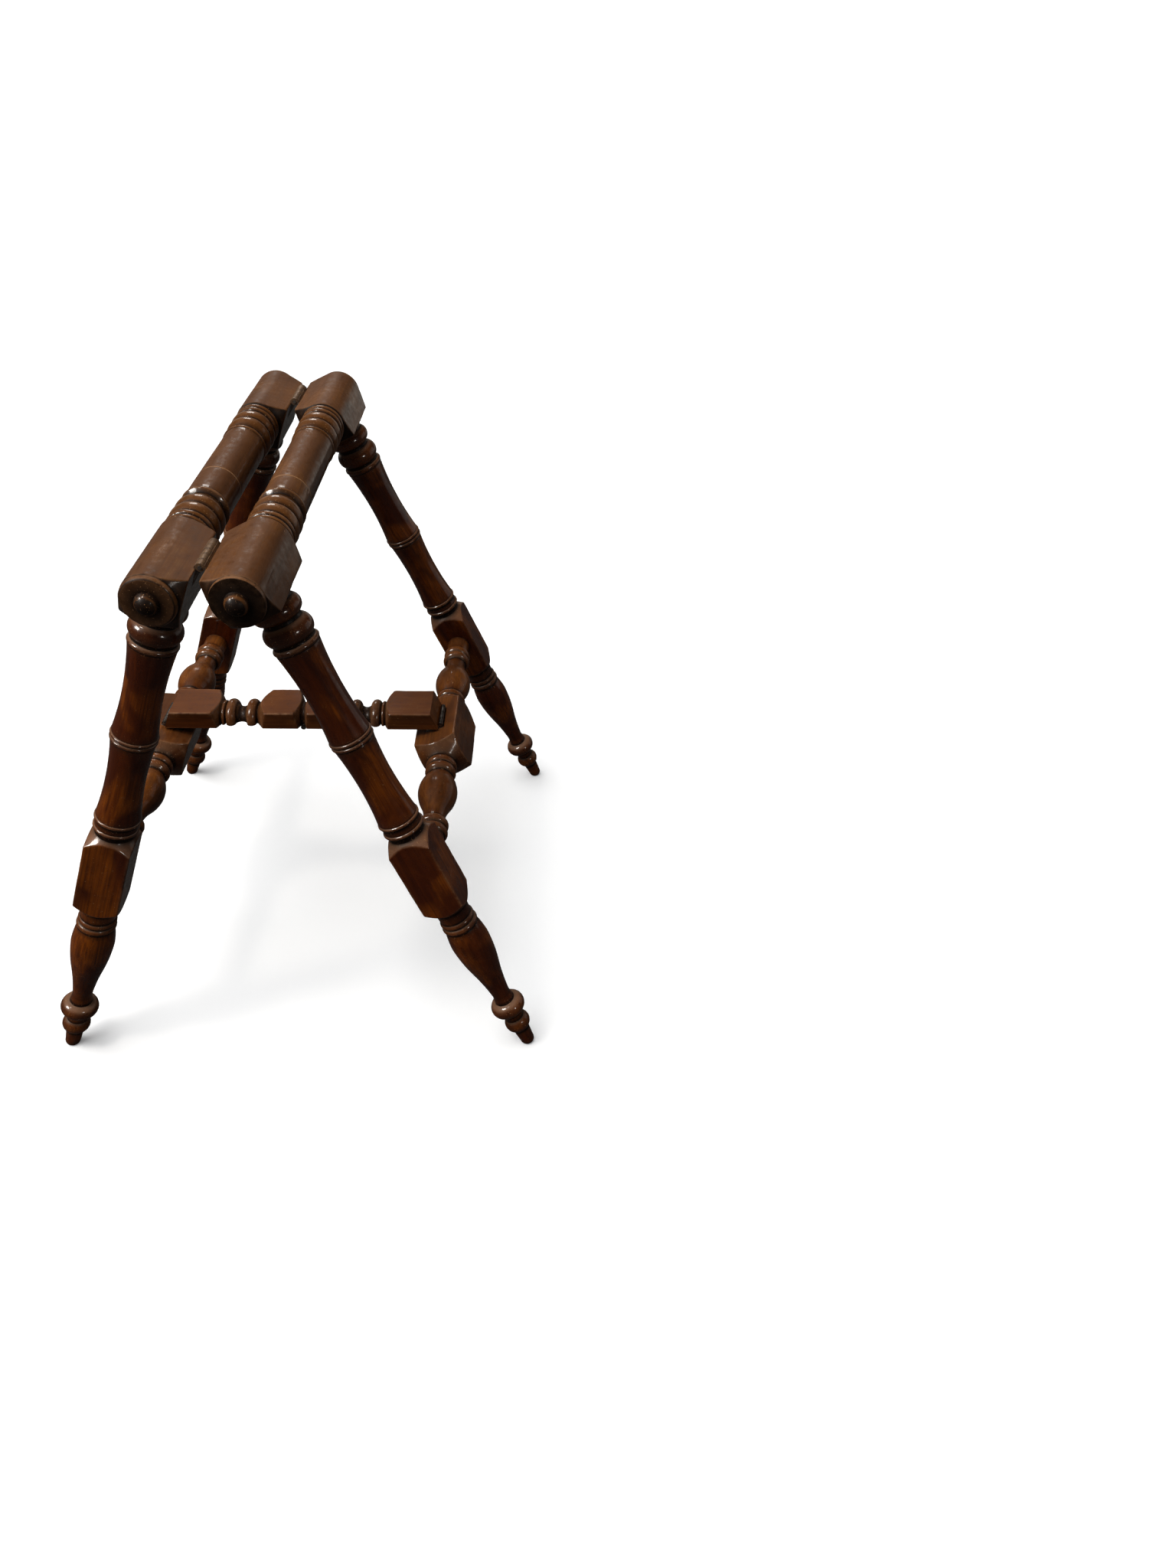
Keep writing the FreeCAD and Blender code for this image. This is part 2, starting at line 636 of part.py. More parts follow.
def leaf_axes(pin, along_plate, bared_face):
    """Placement of a leaf: X runs along the plate and Y out of its bared face."""
    along_pin = along_plate.cross(bared_face)
    return Placement(pin, Rotation(along_plate, bared_face, along_pin, "ZXY"))


def place(item, placement):
    item.Placement = placement.multiply(item.Placement)


def on_side_a(item):
    """Turn a finished side B piece half a turn about Z."""
    item.Placement = HALF_TURN.multiply(item.Placement)


# ---------------------------------------------------------------- building and placing

def build_frames(nodes):
    for name, is_left in (("left", True), ("right", False)):
        rail = build_rail(f"top_rail_{name}", is_left, TOP_SCREWS)
        rail.Placement = Placement(RAIL_CENTRE, FRAME_TURN)
        stretcher = build_stretcher(f"side_stretcher_{name}", SMALL_SCREWS)
        stretcher.Placement = Placement(STRETCHER_CENTRE, FRAME_TURN)
        pieces = [rail, stretcher]
        for end, side in (("front", -1), ("back", 1)):
            leg_side = -side if is_left else side
            leg = build_leg(f"leg_{end}_{name}", leg_side)
            axis = DOWN * math.cos(SPLAY) + ALONG * (leg_side * math.sin(SPLAY))
            start = RAIL_CENTRE + ALONG * (leg_side * size("leg_station"))
            leg.Placement = Placement(start, Rotation(ACROSS, axis.cross(ACROSS), axis, "ZXY"))
            pieces.append(leg)
        if is_left:
            for piece in pieces:
                on_side_a(piece)
        nodes += pieces


def build_stays(nodes):
    for name, is_left in (("left", True), ("right", False)):
        stay = build_stay(f"cross_stay_{name}", SMALL_SCREWS, SMALL_SCREWS)
        stay.Placement = Placement(Vector(0, 0, size("stay_underside")), Rotation())
        if is_left:
            on_side_a(stay)
        nodes.append(stay)


def build_top_hinges(nodes):
    """Two butt hinges between the rails, each with its pin cut at the knuckles."""
    thickness = size("top_leaf_thickness")
    spans = knuckle_spans(size("top_hinge_length"), KNUCKLES["top"], KNUCKLE_GAP)
    for end, side in (("front", -1), ("back", 1)):
        station = ALONG * (side * TOP_HINGE_STATION)
        for name in ("left", "right"):
            axes = leaf_axes(TOP_PIN, DOWN, ACROSS * -1)
            if name == "left":
                axes = HALF_TURN.multiply(axes)
            axes.Base = axes.Base + station
            leaf = build_leaf(f"top_hinge_leaf_{end}_{name}", "top", TOP_PIN_GAP, TOP_OWN[name], TOP_SCREWS,
                              lip=0.0, pin="top_pin_radius")
            screws = build_screws(f"top_hinge_screws_{end}_{name}", TOP_PIN_GAP, TOP_SCREWS, thickness)
            pins = []
            for number in TOP_OWN[name]:
                low, high = spans[number]
                low -= PIN_HEAD if number == 0 else 0
                high += PIN_HEAD if number == len(spans) - 1 else 0
                pins.append(primitive("Cylinder", f"top_pin_{end}_{name}_{number}",
                                      Placement(Vector(0, 0, low), Rotation()),
                                      Radius="Sizes.top_pin_radius", Height=high - low))
            pin_label = f"top_hinge_pin_ends_{end}" if name == "left" else f"top_hinge_pin_core_{end}"
            pin = grouped(pin_label, pins)
            for piece in (leaf, screws, pin):
                place(piece, axes)
                nodes.append(piece)


def build_small_hinge(nodes, name, kind, leaves):
    """A three-knuckle hinge of the stay; leaves are (suffix, axes, gap, own knuckles, lip)."""
    thickness = size("small_leaf_thickness")
    half = size("small_hinge_length") / 2 + PIN_HEAD
    for suffix, axes, gap, own, lip in leaves:
        leaf = build_leaf(f"{name}_leaf_{suffix}", kind, gap, own, SMALL_SCREWS, lip=lip)
        screws = build_screws(f"{name}_screws_{suffix}", gap, SMALL_SCREWS, thickness)
        for piece in (leaf, screws):
            place(piece, axes)
            nodes.append(piece)
    pin = primitive("Cylinder", f"{name}_pin", Placement(Vector(0, 0, -half), Rotation()),
                    Radius="Sizes.small_pin_radius", Height=2 * half)
    pin.Label = f"{name}_pin"
    place(pin, leaves[0][1])
    nodes.append(pin)


def build_stay_hinges(nodes):
    out = Vector(1, 0, 0)
    below = UP * -1
    middle_gap = size("middle_pin_drop")
    right = leaf_axes(MIDDLE_PIN, out, below)
    left = HALF_TURN.multiply(right)
    build_small_hinge(nodes, "middle_hinge", "middle", [
        ("left", left, middle_gap, SMALL_OWN["outer"], -size("stay_half_gap")),
        ("right", right, middle_gap, SMALL_OWN["inner"], -size("stay_half_gap"))])

    stay_gap = size("stay_underside") - END_PIN.z
    frame_axes = leaf_axes(END_PIN, ACROSS * -1, DOWN * -1)
    stay_axes = leaf_axes(END_PIN, out * -1, below)
    for name, turn_round in (("left", HALF_TURN), ("right", Placement())):
        build_small_hinge(nodes, f"end_hinge_{name}", "end", [
            ("frame", turn_round.multiply(frame_axes), END_PIN_GAP, SMALL_OWN["outer"], FRAME_LEAF_LIP),
            ("stay", turn_round.multiply(stay_axes), stay_gap, SMALL_OWN["inner"], STAY_LEAF_LIP)])


def check_and_export(nodes):
    doc.recompute()
    for item in doc.Objects:
        if "Invalid" in item.State or "Error" in item.State:
            raise RuntimeError(f"{item.Label} did not recompute: {item.State}")
    os.makedirs("parts", exist_ok=True)
    for node in nodes:
        shape = node.Shape
        if shape.isNull() or not shape.isValid():
            raise RuntimeError(f"{node.Label} has no valid shape")
        shape.exportStep(os.path.join("parts", f"{node.Label}.step"))
        print(f"{node.Label:34s} {len(shape.Solids)} solid(s) {shape.Volume / 1000:9.2f} cm3")


def main():
    nodes = []
    build_frames(nodes)
    build_stays(nodes)
    build_top_hinges(nodes)
    build_stay_hinges(nodes)
    check_and_export(nodes)


main()
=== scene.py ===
"""Looks of the folding turned-wood trestle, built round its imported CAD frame.

The ten wooden pieces are rebuilt as fine turned meshes and stand for the CAD ones. The hinges, screws
and pins are the CAD nodes themselves with metal materials. Everything is in the frame's axes: X across
the trestle, Y along its rails, Z up. Sizes of the turnings are in millimetres, as a turner writes them.
"""
import json
import math

import bmesh
import bpy
import numpy as np
from mathutils import Matrix, Vector


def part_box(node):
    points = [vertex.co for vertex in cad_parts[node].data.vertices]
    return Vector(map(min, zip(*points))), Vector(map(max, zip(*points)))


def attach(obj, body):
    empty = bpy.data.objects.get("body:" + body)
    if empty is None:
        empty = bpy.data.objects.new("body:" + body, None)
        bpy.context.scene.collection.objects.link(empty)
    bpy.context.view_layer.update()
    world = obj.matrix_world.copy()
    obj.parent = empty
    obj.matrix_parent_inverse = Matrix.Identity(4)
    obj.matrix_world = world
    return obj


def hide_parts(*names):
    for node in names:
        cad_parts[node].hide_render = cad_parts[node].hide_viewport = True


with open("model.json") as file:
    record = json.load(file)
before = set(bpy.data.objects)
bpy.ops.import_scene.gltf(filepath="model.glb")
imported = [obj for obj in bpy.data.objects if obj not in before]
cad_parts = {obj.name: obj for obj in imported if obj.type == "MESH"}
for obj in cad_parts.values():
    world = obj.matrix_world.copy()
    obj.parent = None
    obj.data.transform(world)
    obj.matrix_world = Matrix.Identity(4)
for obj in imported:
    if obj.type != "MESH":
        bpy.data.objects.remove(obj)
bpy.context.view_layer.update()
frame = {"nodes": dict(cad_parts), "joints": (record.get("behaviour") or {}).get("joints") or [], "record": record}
MM = 0.001

# ---------------------------------------------------------------- places taken from the frame

RAIL_HALF = 26.0
RAIL_ROUND = 24.5
RAIL_OFFSET = 37.0
LEG_HALF = 23.0
LEG_STATION = 202.4
STRETCHER_HALF = 26.5
STAY_HALF = 26.0
STAY_THICKNESS = 21.8
# A radius outside every blank, which stands for a stretch where nothing is turned away.
BLANK_LEFT_SQUARE = 60.0


def box_middle(node):
    low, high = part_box(node)
    return (low + high) / 2


def place_of(rows, name):
    """Where the named mount or joint of the frame is."""
    for row in rows:
        if row["name"] == name:
            return Vector(row["pos_m"])
    raise KeyError(name)


RAIL_CENTRE = Vector((RAIL_OFFSET * MM, 0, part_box("top_rail_right")[1].z - RAIL_ROUND * MM))
STRETCHER_CENTRE = box_middle("side_stretcher_right")
STRETCHER_CENTRE.y = 0
DOWN = (STRETCHER_CENTRE - RAIL_CENTRE).normalized()
ALONG = Vector((0, 1, 0))
ACROSS = ALONG.cross(DOWN) * -1
FRAME_AXES = (ACROSS, DOWN, ALONG)
FOOT = place_of(frame["record"]["mounts"], "foot_back_right")
LEG_TOP = RAIL_CENTRE + ALONG * LEG_STATION * MM
LEG_AXIS = (FOOT - LEG_TOP).normalized()
SPLAY = math.acos(min(1.0, LEG_AXIS.dot(DOWN)))

TOP_PIN = Vector((0, 0, box_middle("top_hinge_pin_core_front").z))
TOP_HINGE_STATION = box_middle("top_hinge_leaf_back_right").y / MM
END_PIN = place_of(frame["joints"], "stay_end_right")
STAY_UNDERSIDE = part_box("cross_stay_right")[0].z
STAY_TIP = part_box("cross_stay_right")[1].x / MM

# ---------------------------------------------------------------- turned profiles: (radius, station)


def bead(start, end, base, crest):
    """A rounded ring: two corners on the base radius with an arc between them."""
    return [(base, start), (base, end, crest)]


def mirrored(path):
    """The same path on the other side of the middle, running the same way along the axis."""
    flipped = []
    for number in range(len(path) - 1, -1, -1):
        crest = path[number + 1][2:] if number + 1 < len(path) else ()
        flipped.append((path[number][0], -path[number][1]) + tuple(crest))
    return flipped


RAIL_TIP = 273.0
BUTTON = 10.8
BUTTON_NECK = RAIL_TIP - 9.5
BARREL = 22.2
SCRIBES = {"left": -29.0, "right": -47.0}
SCRIBE_DEPTH = 0.5
SCRIBE_HALF = 0.9
RAIL_GROUP_END = 147.0
RAIL_GROUP = (bead(78, 82, BARREL, 23.4) + [(19.2, 84.5), (19.2, 90), (20.4, 91.5)]
              + bead(92, 109, 20.4, 24.1) + bead(110, 127.5, 20.8, 24.3) + bead(130, 136.5, 21.8, 23.8)
              + bead(139, 145.5, 21.8, 23.8) + [(23.0, RAIL_GROUP_END), (37.5, 158)])
RAIL_BUTTON = [(37.5, RAIL_TIP - 27), (23.9, RAIL_TIP - 15), (20.8, RAIL_TIP - 9, 23.9),
               (BUTTON, RAIL_TIP - BUTTON, 18.0), (0.8, RAIL_TIP, 0.866 * BUTTON)]

LEG_UPPER = ([(19.4, 15), (19.4, 32)] + bead(33, 47, 21.0, 24.4) + [(18.6, 48.5), (18.6, 52)]
             + bead(53.5, 70, 21.0, 24.6) + [(20.8, 71), (20.8, 73)] + bead(73.5, 78.5, 22.0, 23.4)
             + [(22.3, 80), (21.8, 179.6, 18.7), (21.0, 180.4)] + bead(180.4, 184.0, 21.0, 22.8)
             + [(20.8, 184.6)] + bead(185.2, 188.8, 20.8, 22.6) + [(21.4, 189.6), (22.0, 285.6, 18.7)]
             + bead(286.2, 290, 21.2, 23.0) + [(20.9, 291), (21.4, 297.4)] + bead(298, 302, 20.9, 22.7)
             + [(19.5, 304), (19.5, 308.5), (34.5, 323)])
LEG_LOWER = ([(34.5, 402), (19.0, 417), (18.2, 430)] + bead(431, 437.5, 18.2, 20.0)
             + bead(438.5, 445.5, 18.8, 20.8)
             + [(19.4, 446.5), (22.5, 470, 21.5), (16.8, 516, 20.8), (10.5, 560, 12.9)]
             + bead(571, 591, 12.0, 20.5) + [(11.2, 593), (11.2, 600)] + bead(601.5, 619.5, 11.0, 15.3)
             + [(10.0, 621), (8.4, 641), (2.0, 649.5, 7.6)])
LEG_BLOCK = (304, 421)

STRETCHER_GROUP = ([(38.5, 38), (18.2, 54), (16.2, 56), (16.2, 58.5)] + bead(59, 68, 16.0, 18.6)
                   + bead(70, 79.5, 15.8, 18.4)
                   + [(14.0, 81.5), (14.0, 83.5), (22.8, 112, 20.6), (17.6, 134, 21.4),
                      (12.2, 155, 14.0), (12.2, 161)]
                   + bead(162.5, 173, 13.6, 17.4) + bead(175, 186, 13.6, 17.4)
                   + [(14.0, 188), (14.8, 213)])

STAY_NOSE = [(17.4, -4), (17.4, 1.6), (35.0, 9)]
STAY_NECK = ([(35.0, 40.5), (16.6, 54), (15.4, 55)] + bead(56, 68, 15.4, 21.2)
             + [(14.2, 69), (14.2, 79.5, 12.0)] + bead(80.5, 92.5, 15.4, 21.4)
             + bead(93.5, 97.5, 17.4, 19.4) + [(18.4, 98), (35.0, 106.5)])

# ---------------------------------------------------------------- outline and rings of a turning

OUTLINE_STEP = 0.12
CORNER_SOFTNESS = 0.4
CREASE = 0.9
EDGE_GAP = 0.02


def bell(reach, step, spread):
    """The weights of a smoothing bell over reach samples each way; they add up to 1."""
    weights = np.exp(-0.5 * (np.arange(-reach, reach + 1) * step / spread) ** 2)
    return weights / weights.sum()


def arc_points(start, end, crest, count=60):
    """Points of the circle from start to end, both (station, radius), through crest midway."""
    middle = np.array([(start[0] + end[0]) / 2, crest])
    a, b, c = np.array(start, float), middle, np.array(end, float)
    rows = np.array([b - a, c - a])
    right = np.array([(b @ b - a @ a) / 2, (c @ c - a @ a) / 2])
    centre = np.linalg.solve(rows, right)
    first, via, last = (math.atan2(*(point - centre)[::-1]) for point in (a, b, c))
    via = first + math.remainder(via - first, math.tau)
    last = via + math.remainder(last - via, math.tau)
    turns = np.linspace(first, last, count)
    radius = np.linalg.norm(a - centre)
    return np.stack([centre[0] + radius * np.cos(turns), centre[1] + radius * np.sin(turns)], axis=1)


def soft_curve(path):
    """A path as fine (station, radius) points with every corner rubbed a little round."""
    points = [np.array([[path[0][1], path[0][0]]], float)]
    for entry in path[1:]:
        start, end = points[-1][-1], (entry[1], entry[0])
        if len(entry) == 3:
            points.append(arc_points(start, end, entry[2])[1:])
        else:
            points.append(np.array([end], float))
    line = np.concatenate(points)
    lengths = np.concatenate([[0], np.cumsum(np.linalg.norm(np.diff(line, axis=0), axis=1))])
    fine = np.linspace(0, lengths[-1], int(lengths[-1] / OUTLINE_STEP))
    line = np.stack([np.interp(fine, lengths, line[:, column]) for column in (0, 1)], axis=1)
    reach = int(4 * CORNER_SOFTNESS / OUTLINE_STEP)
    weights = bell(reach, OUTLINE_STEP, CORNER_SOFTNESS)
    soft = []
    for column in line.T:
        before = 2 * column[0] - column[reach:0:-1]
        after = 2 * column[-1] - column[-2:-reach - 2:-1]
        soft.append(np.convolve(np.concatenate([before, column, after]), weights, "valid"))
    return np.stack(soft, axis=1)


def smooth_min(a, b, width):
    """The smaller of two radii, with the crease between them rounded over width."""
    closeness = np.clip(1 - np.abs(a - b) / width, 0, 1)
    return np.minimum(a, b) - closeness ** 2 * width / 4


def profile_at(curves, stations):
    """The turned radius at each station, or far outside the blank where it is left square."""
    radius = np.full(stations.shape, BLANK_LEFT_SQUARE)
    for curve in curves:
        within = (stations >= curve[0, 0] - 1e-6) & (stations <= curve[-1, 0] + 1e-6)
        radius[within] = np.interp(stations[within], curve[:, 0], curve[:, 1])
    return radius


def ring_stations(curves, start, end, half, edges, run=5.5, bend=12, shoulder_run=1.0, plain_run=6.0):
    """Where the rings of a turning's mesh go: close together where its outline bends.

    A new ring comes after run mm of outline or bend degrees of turn, after shoulder_run mm where the
    turning meets the square, and every plain_run mm along the axis. An edge has one close on each side.
    """
    chosen = [start, end]
    for curve in curves:
        step = np.diff(curve, axis=0)
        length = np.linalg.norm(step, axis=1)
        heading = np.unwrap(np.arctan2(step[:, 1], step[:, 0]))
        turned = np.abs(np.diff(heading, append=heading[-1]))
        radius = curve[1:, 1]
        on_shoulder = (radius > half * 0.98) & (radius < half * 1.45)
        cost = length / run + turned / math.radians(bend) + on_shoulder * length / shoulder_run
        keep = np.diff(np.floor(np.cumsum(cost)), prepend=-1) > 0
        chosen += list(curve[1:, 0][keep])
    chosen += list(np.arange(start, end, plain_run))
    chosen += [station + shift for station in edges for shift in (-EDGE_GAP, EDGE_GAP)]
    chosen = np.array(sorted(station for station in chosen if start <= station <= end))
    kept = chosen[np.diff(chosen, prepend=-1e9) > 1.5 * EDGE_GAP]
    kept[-1] = end
    return kept


def ring_angles(corners, start=0.0, end=360.0, edges=(), widest=3.4):
    """Directions round the axis, in degrees: close together beside each corner of the section."""
    near = (0, 0.5, 1.0, 1.5, 2.1, 2.9, 4.0, 5.6, 8.0)
    chosen = {start, end}
    for corner in corners:
        chosen |= {corner + side * away for away in near for side in (-1, 1)}
    chosen |= set(edges)
    chosen = sorted(angle for angle in chosen if start <= angle <= end)
    filled = []
    for low, high in zip(chosen, chosen[1:]):
        count = max(1, math.ceil((high - low) / widest))
        filled += [low + (high - low) * number / count for number in range(count)]
    return np.radians(np.array(filled if end - start == 360 else filled + [end]))


# ---------------------------------------------------------------- unevenness and wear of old work, with painted highlights and shade

ARRIS_EASE = 2.6
ARRIS_EASE_CHANGE = 1.5
UNEVENNESS = 0.1
STAY_UNEVENNESS = 0.08
OUT_OF_ROUND = 15
STOUT_RADIUS = 20
KNOCK_SPACING = 12
BEYOND_ENDS = 20.0
SQUARE_MARGIN = 0.3
CREST_HEIGHT = 0.8
GROOVE_DEPTH = 0.4
FINE_HEIGHT = 0.5
SHOULDER_WIDTH = 1.0
ARRIS_WIDTH = 1.3
SCRIBE_WIDTH = 0.75


def wander(stations, seed, size=1.0):
    """A slow, repeatable unevenness between about -1 and 1, different for every seed."""
    total = np.zeros_like(stations)
    for number, wavelength in enumerate((173.0, 61.0, 23.7, 9.1)):
        weight = 1 / (1 + 0.7 * number)
        turn = math.tau * stations / (wavelength * size)
        total += weight * np.sin(turn + seed * (2.3 + number) + number)
    return total / 2.2


def section_radius(stations, angles, faces, rounded, seed):
    """The blank's own outline, its arrises rubbed round unevenly along their length.

    faces are its distances from the axis towards +X, -X, +Y and -Y of the section. A rounded blank has
    the arris between +X and -Y turned away to the radius of those two faces.
    """
    cos, sin = np.cos(angles), np.sin(angles)
    quarter = np.floor(angles / (math.pi / 2))
    ease = ARRIS_EASE + ARRIS_EASE_CHANGE * wander(stations, seed + quarter * 1.7)
    width = np.where(cos >= 0, faces[0], faces[1]) / np.maximum(np.abs(cos), 1e-6)
    height = np.where(sin > 0, faces[2], faces[3]) / np.maximum(np.abs(sin), 1e-6)
    outline = smooth_min(width, height, ease)
    if rounded:
        outline = np.where((cos >= 0) & (sin <= 0), faces[0], outline)
    return outline


def section_corners(faces):
    """Directions of the blank's four arrises, in degrees; the last is between +X and -Y."""
    quarters = ((0, 0, 2), (90, 2, 1), (180, 1, 3), (270, 3, 0))
    return [start + math.degrees(math.atan2(faces[beside], faces[across]))
            for start, across, beside in quarters]


def square_faces(half):
    return (half, half, half, half)


def dented(radius, stations, angles, seed, count, on_arrises):
    """Shallow knocks in a turned surface, with on_arrises about half of them on those of a square."""
    knocks = np.random.default_rng(seed)
    for _ in range(count):
        centre = knocks.uniform(stations.min(), stations.max())
        turn = knocks.uniform(0, math.tau)
        if on_arrises and knocks.random() < 0.5:
            turn = math.pi / 4 + math.pi / 2 * knocks.integers(4) + knocks.normal(0, 0.02)
        size = knocks.uniform(0.8, 2.6)
        depth = knocks.uniform(0.08, 0.34)
        away = np.angle(np.exp(1j * (angles - turn))) * np.minimum(radius, 40)
        distance = ((stations - centre) / (size * knocks.uniform(1, 2.2))) ** 2 + (away / size) ** 2
        radius = radius - depth * np.exp(-distance)
    return radius


def standing_out(curves, stations, half, step=0.25, spread=2.2, reach=24):
    """How far each station stands out from its surroundings: above 0 on crests, below 0 in grooves."""
    fine = np.arange(stations.min() - BEYOND_ENDS, stations.max() + BEYOND_ENDS, step)
    outline = np.minimum(profile_at(curves, fine), half * 1.1)
    around = np.convolve(np.pad(outline, reach, mode="edge"), bell(reach, step, spread), "valid")
    return np.interp(stations, fine, outline - around)


def fine_work(curves, stations, half, step=1.0, spread=4.0, reach=12):
    """From 0 on plain lengths to 1 among the beads and grooves, where the turning is finest."""
    fine = np.arange(stations.min() - BEYOND_ENDS, stations.max() + BEYOND_ENDS, step)
    busy = np.clip(np.abs(standing_out(curves, fine, half)) / FINE_HEIGHT, 0, 1)
    busy = np.convolve(np.pad(busy, reach, mode="edge"), bell(reach, step, spread), "valid")
    return np.clip(np.interp(stations, fine, busy) * 3, 0, 1)


def surface_marks(curves, stations, angles, radius, section, half, seed, corners, scribe=None):
    """Where the surface is rubbed bright (on crests a painted highlight), dirty (in grooves with painted shade),
    finely turned or scribed, each from 0 to 1.
    """
    stands_out = standing_out(curves, stations, half)
    turned = profile_at(curves, stations)
    squared = turned > section + SQUARE_MARGIN
    # Crests: partly real wear, partly a painted highlight along each bead.
    crest = np.clip(stands_out / CREST_HEIGHT, 0, 1) ** 1.5 * ~squared * 0.85
    shoulder = np.exp(-((turned - section) / SHOULDER_WIDTH) ** 2) * 0.9
    away = np.full(angles.shape, 10.0)
    for corner in corners:
        away = np.minimum(away, np.abs(np.angle(np.exp(1j * (angles - math.radians(corner))))))
    arris = np.exp(-(away * radius / ARRIS_WIDTH) ** 2) * squared
    rubbed = 0.75 + 0.5 * wander(stations + angles * 20, seed, 0.8)
    scribed = np.zeros(stations.shape)
    if scribe is not None:
        scribed = np.exp(-((stations - scribe) / SCRIBE_WIDTH) ** 2)
    # The first mark is wear on arrises and shoulders with a painted highlight on crests; the second is dirt in the
    # grooves with painted shade.
    return {"wear_and_highlight": np.clip(np.maximum.reduce([crest, shoulder, arris]) * rubbed, 0, 1),
            "grime_and_shade": np.clip(-stands_out / GROOVE_DEPTH, 0, 1),
            "detail": fine_work(curves, stations, half) * ~squared,
            "scribe": scribed}


# ---------------------------------------------------------------- meshes and pieces

def add_object(name, data):
    made = bpy.data.objects.new(name, data)
    bpy.context.scene.collection.objects.link(made)
    return made


def hide_from(made, *rays):
    for ray in rays:
        setattr(made, f"visible_{ray}", False)


def build_mesh(name, points, marks, grain, seed):
    """A closed skin over rings of points, with its grain coordinates and marks kept on the vertices."""
    rings, count = points.shape[:2]
    index = np.arange(rings * count).reshape(rings, count)
    following = np.roll(index, -1, axis=1)
    quads = np.stack([index[:-1], following[:-1], following[1:], index[1:]], axis=-1)
    faces = quads.reshape(-1, 4).tolist()
    first_middle, last_middle = rings * count, rings * count + 1
    for middle, ring, before, after in ((first_middle, 0, following, index),
                                        (last_middle, -1, index, following)):
        faces += [(middle, *pair) for pair in zip(before[ring].tolist(), after[ring].tolist())]

    def with_middles(values):
        """One row for each vertex; the two middles take the mean of their ring."""
        middles = [values[ring].mean(axis=0) for ring in (0, -1)]
        return np.concatenate([values.reshape(rings * count, -1), np.array(middles)])

    mesh = bpy.data.meshes.new(name)
    mesh.from_pydata(with_middles(points).tolist(), [], faces)
    mesh.validate()
    shifted = with_middles(grain * MM) + np.array([0.37, 0.71, 1.13]) * seed
    mesh.attributes.new("grain", "FLOAT_VECTOR", "POINT").data.foreach_set("vector", shifted.ravel())
    for mark, values in marks.items():
        data = mesh.attributes.new(mark, "FLOAT", "POINT").data
        data.foreach_set("value", with_middles(values[..., None]).ravel())
    mesh.shade_smooth()
    mesh.set_sharp_from_angle(angle=math.radians(42))
    return mesh


def mark_directions(mesh, axis):
    """Marks the faces that look up, where varnish dulls first and dust with a painted sheen pales them, and the
    end grain across the axis.
    """
    normals = np.empty(len(mesh.vertices) * 3)
    mesh.vertices.foreach_get("normal", normals)
    normals = normals.reshape(-1, 3)
    # The upward mark paints real dust together with a painted sheen, paler because these faces meet the light.
    marks = {"dust_and_sheen": np.clip(normals[:, 2], 0, 1) ** 1.5,
             "end_grain": np.clip((np.abs(normals @ np.array(axis)) - 0.5) / 0.3, 0, 1)}
    for name, values in marks.items():
        mesh.attributes.new(name, "FLOAT", "POINT").data.foreach_set("value", values)


def finish_piece(node, body, slot, seed, turn_round, local, grain, marks, origin, axes, grain_axis):
    """The piece that stands for a CAD node, from its points in local millimetres.

    The left half is the right half turned round the vertical. Nothing goes below the floor.
    """
    basis = np.array([list(axis) for axis in axes])
    points = local @ basis * MM + np.array(list(origin))
    points[..., 2] = np.maximum(points[..., 2], 0)
    if turn_round:
        points = points * np.array([-1, -1, 1])
        grain_axis = Vector((-grain_axis.x, -grain_axis.y, grain_axis.z))
    name = f"turned_{node}"
    mesh = build_mesh(name, points, marks, grain, seed)
    mark_directions(mesh, grain_axis)
    mesh.materials.append(MATERIALS[slot])
    piece = add_object(name, mesh)
    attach(piece, body)
    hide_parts(node)


def slant_ends(stations, turns, rings, curves, end_planes, span):
    """Stations shifted along the axis so that an end lies on the slanted face that it meets."""
    for plane, end in zip(end_planes, span):
        if plane is not None:
            point, normal, reach = plane
            rim = profile_at(curves, np.array([end]))[0]
            meets = point @ normal - rim * np.cos(turns) * normal[0] - rim * np.sin(turns) * normal[1]
            fade = np.clip(1 - np.abs(rings - end) / reach, 0, 1)[:, None]
            stations = stations + (meets / normal[2] - end) * fade
    return stations


